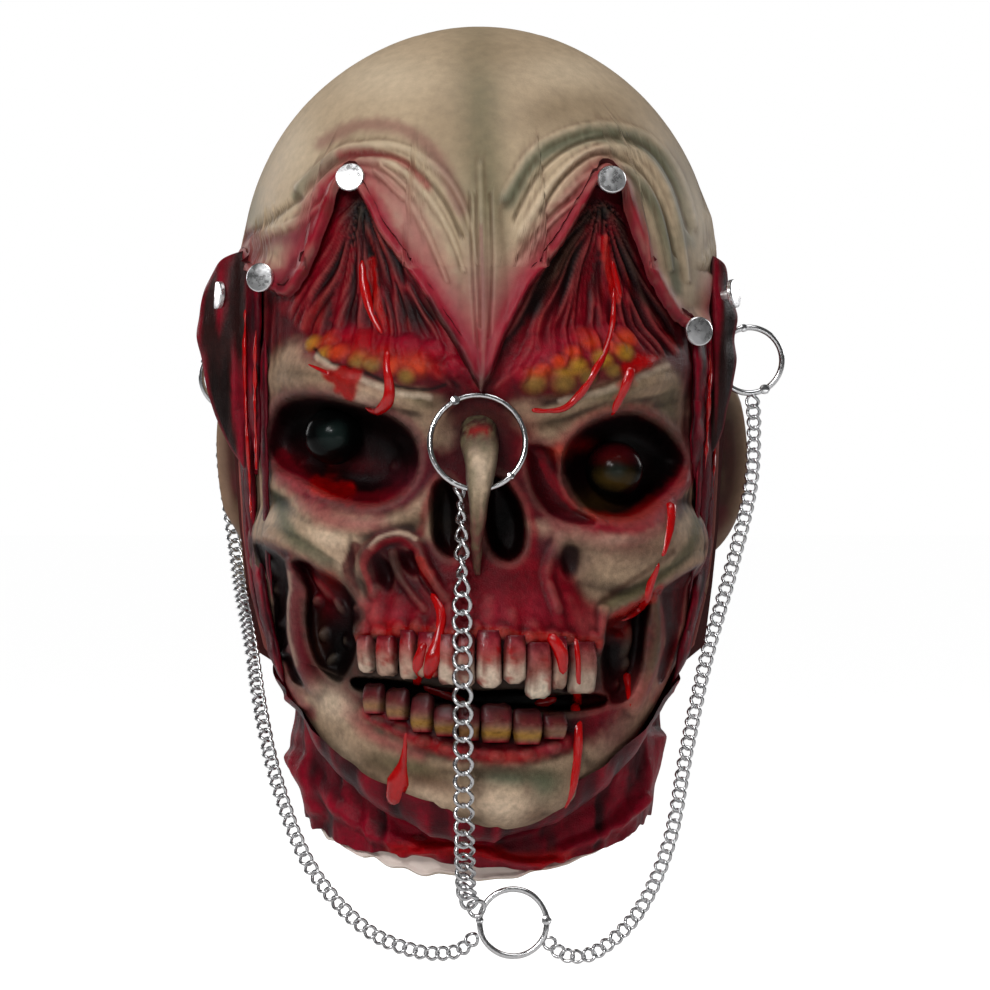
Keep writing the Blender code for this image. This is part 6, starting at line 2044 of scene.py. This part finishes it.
@dataclass
class Nail:
    """A bright nail: a slightly domed head on a round shank, in its place in the solids."""

    node: str
    direction: tuple[float, float, float]
    finishes: Finishes
    head_radius: float = 0.0062
    head_height: float = 0.0024
    shank_radius: float = 0.0024

    def build(self) -> bpy.types.Object:
        """Turn the nail about its own axis."""
        low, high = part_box(self.node)
        middle = (low + high) / 2
        out = Vector(self.direction).normalized()
        corners = [vertex.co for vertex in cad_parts[self.node].data.vertices]
        reach = [(corner - middle).dot(out) for corner in corners]
        foot, top = min(reach), max(reach)
        heads = [c for c, r in zip(corners, reach) if r > top - self.head_height * 0.5]
        centre = sum(heads, Vector()) / len(heads)
        start = centre - out * (centre - middle).dot(out) + out * foot
        length = top - foot
        neck = length - self.head_height
        head, shank = self.head_radius, self.shank_radius
        profile = ((0.0, shank * 0.6), (0.0006, shank), (neck, shank), (neck, head * 0.94),
                   (neck + 0.0004, head), (length - 0.0007, head), (length - 0.0002, head * 0.93),
                   (length, head * 0.6), (length + 0.0002, 0.0003))
        made = lathe(self.node + "_bright", profile, start, out, 40, self.finishes.nail)
        return settle(made, Slot.STEEL, self.node)


@dataclass
class HingedRing:
    """A snap ring of round wire in two halves, with a hinge and a catch."""

    node: str
    radius: float
    facing: Vector
    hinge: float
    snap: float
    finishes: Finishes
    wire: float = 0.00125
    gap: float = 0.035
    joint_radius: float = 0.0021
    joint_height: float = 0.0032

    def build(self) -> bpy.types.Object:
        """Make the ring where its solid lies."""
        normal = self.facing.normalized()
        up = (Vector((0.0, 0.0, 1.0)) - normal * normal.z).normalized()
        along = up.cross(normal).normalized()
        centre = self.fitted(up, along)
        axes = np.array((along, up, normal))
        parts = [self.half(centre, axes, first + self.gap, last - self.gap)
                 for first, last in ((self.hinge, self.snap), (self.snap, self.hinge + 2 * math.pi))]
        for angle, size in ((self.hinge, 1.0), (self.snap, 0.8)):
            place = centre + (along * math.cos(angle) + up * math.sin(angle)) * self.radius
            wide, tall = self.joint_radius * size, self.joint_height * size
            profile = ((0.0, wide * 0.5), (0.0002, wide * 0.9), (0.0005, wide), (tall - 0.0005, wide),
                       (tall - 0.0002, wide * 0.9), (tall, wide * 0.5))
            parts.append(lathe(self.node + "_joint", profile, place - normal * tall / 2, normal, 28,
                               self.finishes.chrome))
        return settle(joined(self.node + "_bright", parts), Slot.WIRE, self.node)

    def fitted(self, up: Vector, along: Vector) -> Vector:
        """Centre the ring on its wire, leaving out the bulk of its joints."""
        low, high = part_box(self.node)
        corners = [vertex.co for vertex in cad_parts[self.node].data.vertices]
        best = (low + high) / 2
        for _ in range(12):
            reach = np.array([((c - best).dot(along), (c - best).dot(up)) for c in corners])
            size = np.linalg.norm(reach, axis=1, keepdims=True)
            shift = (reach / size * (size - self.radius)).mean(axis=0) * 1.6
            best = best + along * shift[0] + up * shift[1]
        return best

    def half(self, centre: Vector, axes: np.ndarray, first: float, last: float) -> bpy.types.Object:
        """Make one half of the ring's wire, closed at both ends."""
        steps, sides = 56, 14
        last += 2 * math.pi * (last < first)
        angle = np.linspace(first, last, steps + 1)[:, None, None]
        turn = (np.arange(sides) * 2 * math.pi / sides)[None, :, None]
        out = axes[0] * np.cos(angle) + axes[1] * np.sin(angle)
        points = np.array(centre) + out * self.radius
        points = points + (out * np.cos(turn) + axes[2] * np.sin(turn)) * self.wire
        return closed_form(self.node + "_half", points, None, 0.0, self.finishes.chrome)


def chain_tree(finish: bpy.types.Material) -> bpy.types.NodeTree:
    """Build the tree that hangs a twisted link on each point of a chain.

    Args:
        finish: the links' material.

    Returns:
        The geometry node tree, whose inputs are the link's half length, half width, wire and twist.
    """
    sizes = dict.fromkeys(("Half Length", "Half Width", "Wire", "Twist"), "Float")
    shape = {"Geometry": "Geometry"}
    tree = node_group("curb_chain", "GeometryNodeTree", {**shape, **sizes}, shape)
    nodes = Nodes(tree)
    given = nodes.add("NodeGroupInput").outputs
    circle = nodes.read("GeometryNodeCurvePrimitiveCircle", {"Resolution": 22, "Radius": 1.0})
    place = nodes.read("GeometryNodeInputPosition")
    ahead, aside, _ = nodes.add("ShaderNodeSeparateXYZ", {0: place}).outputs
    out = nodes.maths("MULTIPLY", aside, given["Half Width"])
    turn = nodes.maths("MULTIPLY", ahead, given["Twist"])
    spot = nodes.read("ShaderNodeCombineXYZ", {0: nodes.maths("MULTIPLY", out, nodes.maths("SINE", turn)),
                                               1: nodes.maths("MULTIPLY", out, nodes.maths("COSINE", turn)),
                                               2: nodes.maths("MULTIPLY", ahead, given["Half Length"])})
    bent = nodes.read("GeometryNodeSetPosition", {"Geometry": circle, "Position": spot})
    wire = nodes.read("GeometryNodeCurvePrimitiveCircle", {"Resolution": 8, "Radius": given["Wire"]})
    link = nodes.read("GeometryNodeCurveToMesh", {"Curve": bent, "Profile Curve": wire})
    aim, face, size = (nodes.read("GeometryNodeInputNamedAttribute", {"Name": name}, data_type="FLOAT_VECTOR")
                       for name in ("aim", "face", "size"))
    first = nodes.read("FunctionNodeAlignRotationToVector", {"Vector": aim}, axis="Z")
    second = nodes.read("FunctionNodeAlignRotationToVector", {"Rotation": first, "Vector": face},
                        axis="X", pivot_axis="Z")
    hung = nodes.read("GeometryNodeInstanceOnPoints", {"Points": given["Geometry"], "Instance": link,
                                                       "Rotation": second, "Scale": size})
    real = nodes.read("GeometryNodeRealizeInstances", {"Geometry": hung})
    round_links = nodes.read("GeometryNodeSetShadeSmooth", {"Geometry": real})
    dressed = nodes.read("GeometryNodeSetMaterial", {"Geometry": round_links, "Material": finish})
    nodes.add("NodeGroupOutput", {0: dressed})
    return tree


@dataclass
class CurbChain:
    """A chain of twisted oval links along a smooth route."""

    name: str
    node: str
    route: Sequence[Sequence[float]]
    tree: bpy.types.NodeTree
    pitch: float
    half_width: float
    wire: float
    twist: float = math.radians(42.0)
    crowding: tuple[tuple[float, float], ...] = ((0.0, 1.0), (1.0, 1.0))
    rolls: tuple[tuple[float, float], ...] = ((0.0, 0.0), (1.0, 0.0))
    slack: float = 0.62
    wander: float = 0.10

    def stations(self) -> tuple[np.ndarray, np.ndarray, np.ndarray, np.ndarray]:
        """Space the links out along the route.

        Returns:
            Each link's middle, the way it points, the way its flat side faces and its size.
        """
        line = curve_through(self.route, 40)
        runs = runs_of(line)
        places, crowd = [0.0], np.array(self.crowding)
        while places[-1] < runs[-1] - self.pitch * 0.2:
            share = places[-1] / runs[-1]
            places.append(places[-1] + self.pitch * np.interp(share, crowd[:, 0], crowd[:, 1]))
        marks = np.array(places) * runs[-1] / places[-1]
        points = np.stack([np.interp(marks, runs, line[:, k]) for k in range(3)], axis=1)
        middles = (points[1:] + points[:-1]) / 2
        steps = points[1:] - points[:-1]
        lengths = np.linalg.norm(steps, axis=1)
        aim = steps / lengths[:, None]
        face = np.array([0.0, -1.0, 0.0]) - aim * (-aim[:, 1])[:, None]
        face /= np.linalg.norm(face, axis=1, keepdims=True)
        side = np.cross(aim, face)
        share = (marks[1:] + marks[:-1]) / 2 / runs[-1]
        roll = np.radians(np.interp(share, *np.array(self.rolls).T))
        index = np.arange(len(middles))
        roll = roll + self.wander * plane_noise(index * 0.7, 0.0, 7) * 4
        face = face * np.cos(roll)[:, None] + side * np.sin(roll)[:, None]
        size = np.stack([np.ones(len(middles)), np.ones(len(middles)),
                         np.maximum(lengths / self.pitch, 0.8)], axis=1)
        return middles, aim, face, size

    def build(self) -> bpy.types.Object:
        """Hang the links and turn them into one mesh."""
        middles, aim, face, size = self.stations()
        mesh = bpy.data.meshes.new(self.name)
        mesh.from_pydata(middles.tolist(), [], [])
        for key, values in (("aim", aim), ("face", face), ("size", size)):
            made = mesh.attributes.new(key, "FLOAT_VECTOR", "POINT")
            made.data.foreach_set("vector", values.astype(np.float32).ravel())
        points = placed(self.name + "_points", mesh)
        modifier = points.modifiers.new("links", "NODES")
        modifier.node_group = self.tree
        values = {"Half Length": (self.pitch + self.wire * 2 * self.slack) / 2, "Half Width": self.half_width,
                  "Wire": self.wire, "Twist": self.twist}
        for item in self.tree.interface.items_tree:
            if item.in_out == "INPUT" and item.name in values:
                modifier[item.identifier] = values[item.name]
        graph = bpy.context.evaluated_depsgraph_get()
        links = bpy.data.meshes.new_from_object(points.evaluated_get(graph))
        bpy.data.objects.remove(points)
        links.name = self.name
        return settle(placed(self.name, links), Slot.CHAIN, self.node)


def route_of(points: Sequence[Sequence[float]]) -> list[tuple[float, float, float]]:
    """Turn a chain's across, forward and drop values into points."""
    return [(x, -forward, VIEW.crown_z - drop) for x, forward, drop in points]


NOSE_CHAIN_ROUTE = (
    (-0.0080, 0.1095, 0.1985), (-0.0072, 0.1130, 0.208), (-0.0068, 0.1140, 0.222), (-0.0066, 0.1210, 0.262),
    (-0.0062, 0.1245, 0.300), (-0.0058, 0.1240, 0.335), (-0.0052, 0.1150, 0.362), (-0.0042, 0.1085, 0.374),
    (0.0012, 0.1070, 0.3785),
)
RIGHT_CHAIN_ROUTE = (
    (-0.1095, -0.0300, 0.1655), (-0.1110, -0.0340, 0.172), (-0.1130, -0.0390, 0.182),
    (-0.1105, -0.0420, 0.205), (-0.1070, -0.0300, 0.228), (-0.1040, -0.0080, 0.245),
    (-0.0990, 0.0220, 0.266), (-0.0940, 0.0500, 0.294), (-0.0860, 0.0720, 0.326), (-0.0720, 0.0880, 0.360),
    (-0.0500, 0.0980, 0.385), (-0.0280, 0.1030, 0.3955), (-0.0090, 0.1050, 0.3960),
    (-0.0010, 0.1055, 0.3890),
)
LEFT_CHAIN_ROUTE = (
    (0.1190, 0.0200, 0.1590), (0.1200, 0.0180, 0.172), (0.1180, 0.0240, 0.200), (0.1090, 0.0370, 0.236),
    (0.0985, 0.0500, 0.272), (0.0895, 0.0640, 0.312), (0.0820, 0.0790, 0.350), (0.0690, 0.0910, 0.379),
    (0.0510, 0.1000, 0.3960), (0.0370, 0.1040, 0.3975), (0.0290, 0.1060, 0.3905),
)


@dataclass
class Studio:
    """The pale floor, the soft lights and the camera."""

    distance: float = 3.6
    view_width: float = 0.4257
    focus_depth: float = -0.060
    air: float = 0.07
    backdrop: float = 1.0
    floor_lift: float = 0.93
    floor_size: float = 40.0
    # name, place from the middle of the head, size and power of each soft box
    boxes: tuple[tuple[str, tuple[float, float, float], float, float], ...] = (
        ("key", (-0.75, -1.5, 0.95), 0.5, 13.0), ("fill", (0.6, -1.5, -0.45), 0.7, 5.0),
        ("top", (0.1, -0.3, 1.4), 0.8, 7.0), ("rim", (1.0, 0.9, 0.5), 0.6, 4.0),
        ("back", (-1.0, 1.0, 0.4), 0.6, 4.0), ("glint", (-0.4, -2.0, 0.8), 0.08, 8.0),
    )

    def build(self) -> None:
        """Set the stage."""
        middle = Vector((VIEW.across(495.0), 0.0, VIEW.height(495.0)))
        camera = placed("camera", bpy.data.cameras.new("camera"))
        camera.data.sensor_width = 36.0
        camera.data.lens = 36.0 * (self.distance + self.focus_depth) / self.view_width
        camera.location = middle + Vector((0.0, -self.distance, 0.0))
        camera.rotation_euler = (math.radians(90.0), 0.0, 0.0)
        camera.data.clip_end = 100.0
        bpy.context.scene.camera = camera
        self.floor()
        self.lights(Vector((0.0, 0.0, middle.z)))
        self.sky()

    def floor(self) -> None:
        """Lay a wide pale floor below the lowest chain."""
        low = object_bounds()[0].z - 0.012
        size = self.floor_size
        corners = [(-size, -size, low), (size, -size, low), (size, size, low), (-size, size, low)]
        finish, nodes, shader = new_material("pale_floor")
        seen = nodes.add("ShaderNodeLightPath").outputs["Is Camera Ray"]
        nodes.fill(shader, {"Base Color": (0.9, 0.9, 0.9, 1.0), "Roughness": 0.9, "Specular IOR Level": 0.1,
                            "Emission Color": (1.0, 1.0, 1.0, 1.0),
                            "Emission Strength": nodes.maths("MULTIPLY", seen, self.floor_lift)})
        painted_mesh("floor", np.array(corners), np.array([(0, 1, 2, 3)]), None, 0.0, finish)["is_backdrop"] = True

    def lights(self, middle: Vector) -> None:
        """Hang the soft boxes round the middle of the head."""
        for name, place, size, power in self.boxes:
            light = placed(name, bpy.data.lights.new(name, "AREA"))
            light.data.shape = "SQUARE"
            light.data.size = size
            light.data.energy = power
            light.location = Vector(place) + middle
            light.rotation_euler = (-Vector(place)).to_track_quat("-Z", "Y").to_euler()

    def sky(self) -> None:
        """Light the air, white where the camera sees it."""
        world = bpy.data.worlds.new("air")
        world.use_nodes = True
        nodes = Nodes(world.node_tree)
        seen = nodes.add("ShaderNodeLightPath").outputs["Is Camera Ray"]
        level = nodes.read("ShaderNodeMapRange", {"Value": seen, "To Min": self.air, "To Max": self.backdrop})
        nodes.fill(world.node_tree.nodes["Background"], {"Color": (1.0, 1.0, 1.0, 1.0), "Strength": level})
        bpy.context.scene.world = world
        bpy.context.scene.view_settings.view_transform = "Standard"


def build_metal(finishes: Finishes) -> None:
    """Make the nails, the rings and the chains."""
    for node, direction in (
        ("brow_nail_right", (-0.20, -1.0, 0.35)), ("brow_nail_left", (0.15, -1.0, 0.35)),
        ("temple_nail_right", (-0.45, -1.0, 0.10)), ("temple_nail_left", (0.35, -1.0, 0.05)),
        ("flap_nail_right", (-2.60, -1.0, 0.25)), ("flap_nail_left", (2.60, -1.0, 0.45)),
    ):
        Nail(node, direction, finishes).build()
    tilt = math.radians(10.0)
    lean = math.radians(7.0)
    rings = (
        ("nose_ring", 0.02025, Vector((0.0, -math.cos(tilt), math.sin(tilt))), 118.0, -46.0),
        ("right_ear_ring", 0.01425, Vector((-0.10, -1.0, 0.0)), 150.0, 330.0),
        ("left_ear_ring", 0.01425, Vector((0.10, -1.0, 0.0)), -62.0, 100.0),
        ("gather_ring", 0.01425, Vector((0.0, -math.cos(lean), math.sin(lean))), 4.0, 176.0),
    )
    for node, radius, facing, hinge, snap in rings:
        HingedRing(node, radius, facing, math.radians(hinge), math.radians(snap), finishes).build()
    tree = chain_tree(finishes.links)
    CurbChain("nose_chain_links", "nose_chain", route_of(NOSE_CHAIN_ROUTE), tree,
              pitch=0.0078, half_width=0.0037, wire=0.00098,
              crowding=((0.0, 1.0), (0.45, 1.0), (0.7, 0.85), (0.85, 0.62), (1.0, 0.6)),
              rolls=((0.0, 90.0), (0.18, 70.0), (0.30, 5.0), (0.9, 0.0), (1.0, 40.0))).build()
    for name, node, points in (("right_chain_links", "right_chain", RIGHT_CHAIN_ROUTE),
                               ("left_chain_links", "left_chain", LEFT_CHAIN_ROUTE)):
        CurbChain(name, node, route_of(points), tree, pitch=0.0048, half_width=0.0026, wire=0.00074).build()


def main() -> None:
    """Build the mask, dress it and set the stage."""
    logging.basicConfig(level=logging.INFO, format="%(message)s")
    finishes = Finishes()
    face = BareFace(finishes).build()
    SkinHood(finishes).build()
    NeckFlesh(finishes).build()
    InnerWall(finishes).build()
    teeth = Teeth(Surface(face), finishes).build()
    NoseBone(finishes).build()
    Eyeball(finishes, "right_eyeball", x=334, y=436, back=-0.0695).build()
    Eyeball(finishes, "left_eyeball", x=614, y=470, back=-0.071, warm=True).build()
    Blood(Surface(face + teeth), finishes).build()
    for side in (-1, 1):
        Ear(side, finishes, flare=math.radians(50.0 if side > 0 else 34.0)).build()
        TempleFlap(side, finishes).build()
    SideStrips(finishes).build()
    build_metal(finishes)
    Studio().build()
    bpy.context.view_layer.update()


if __name__ == "__main__":
    main()
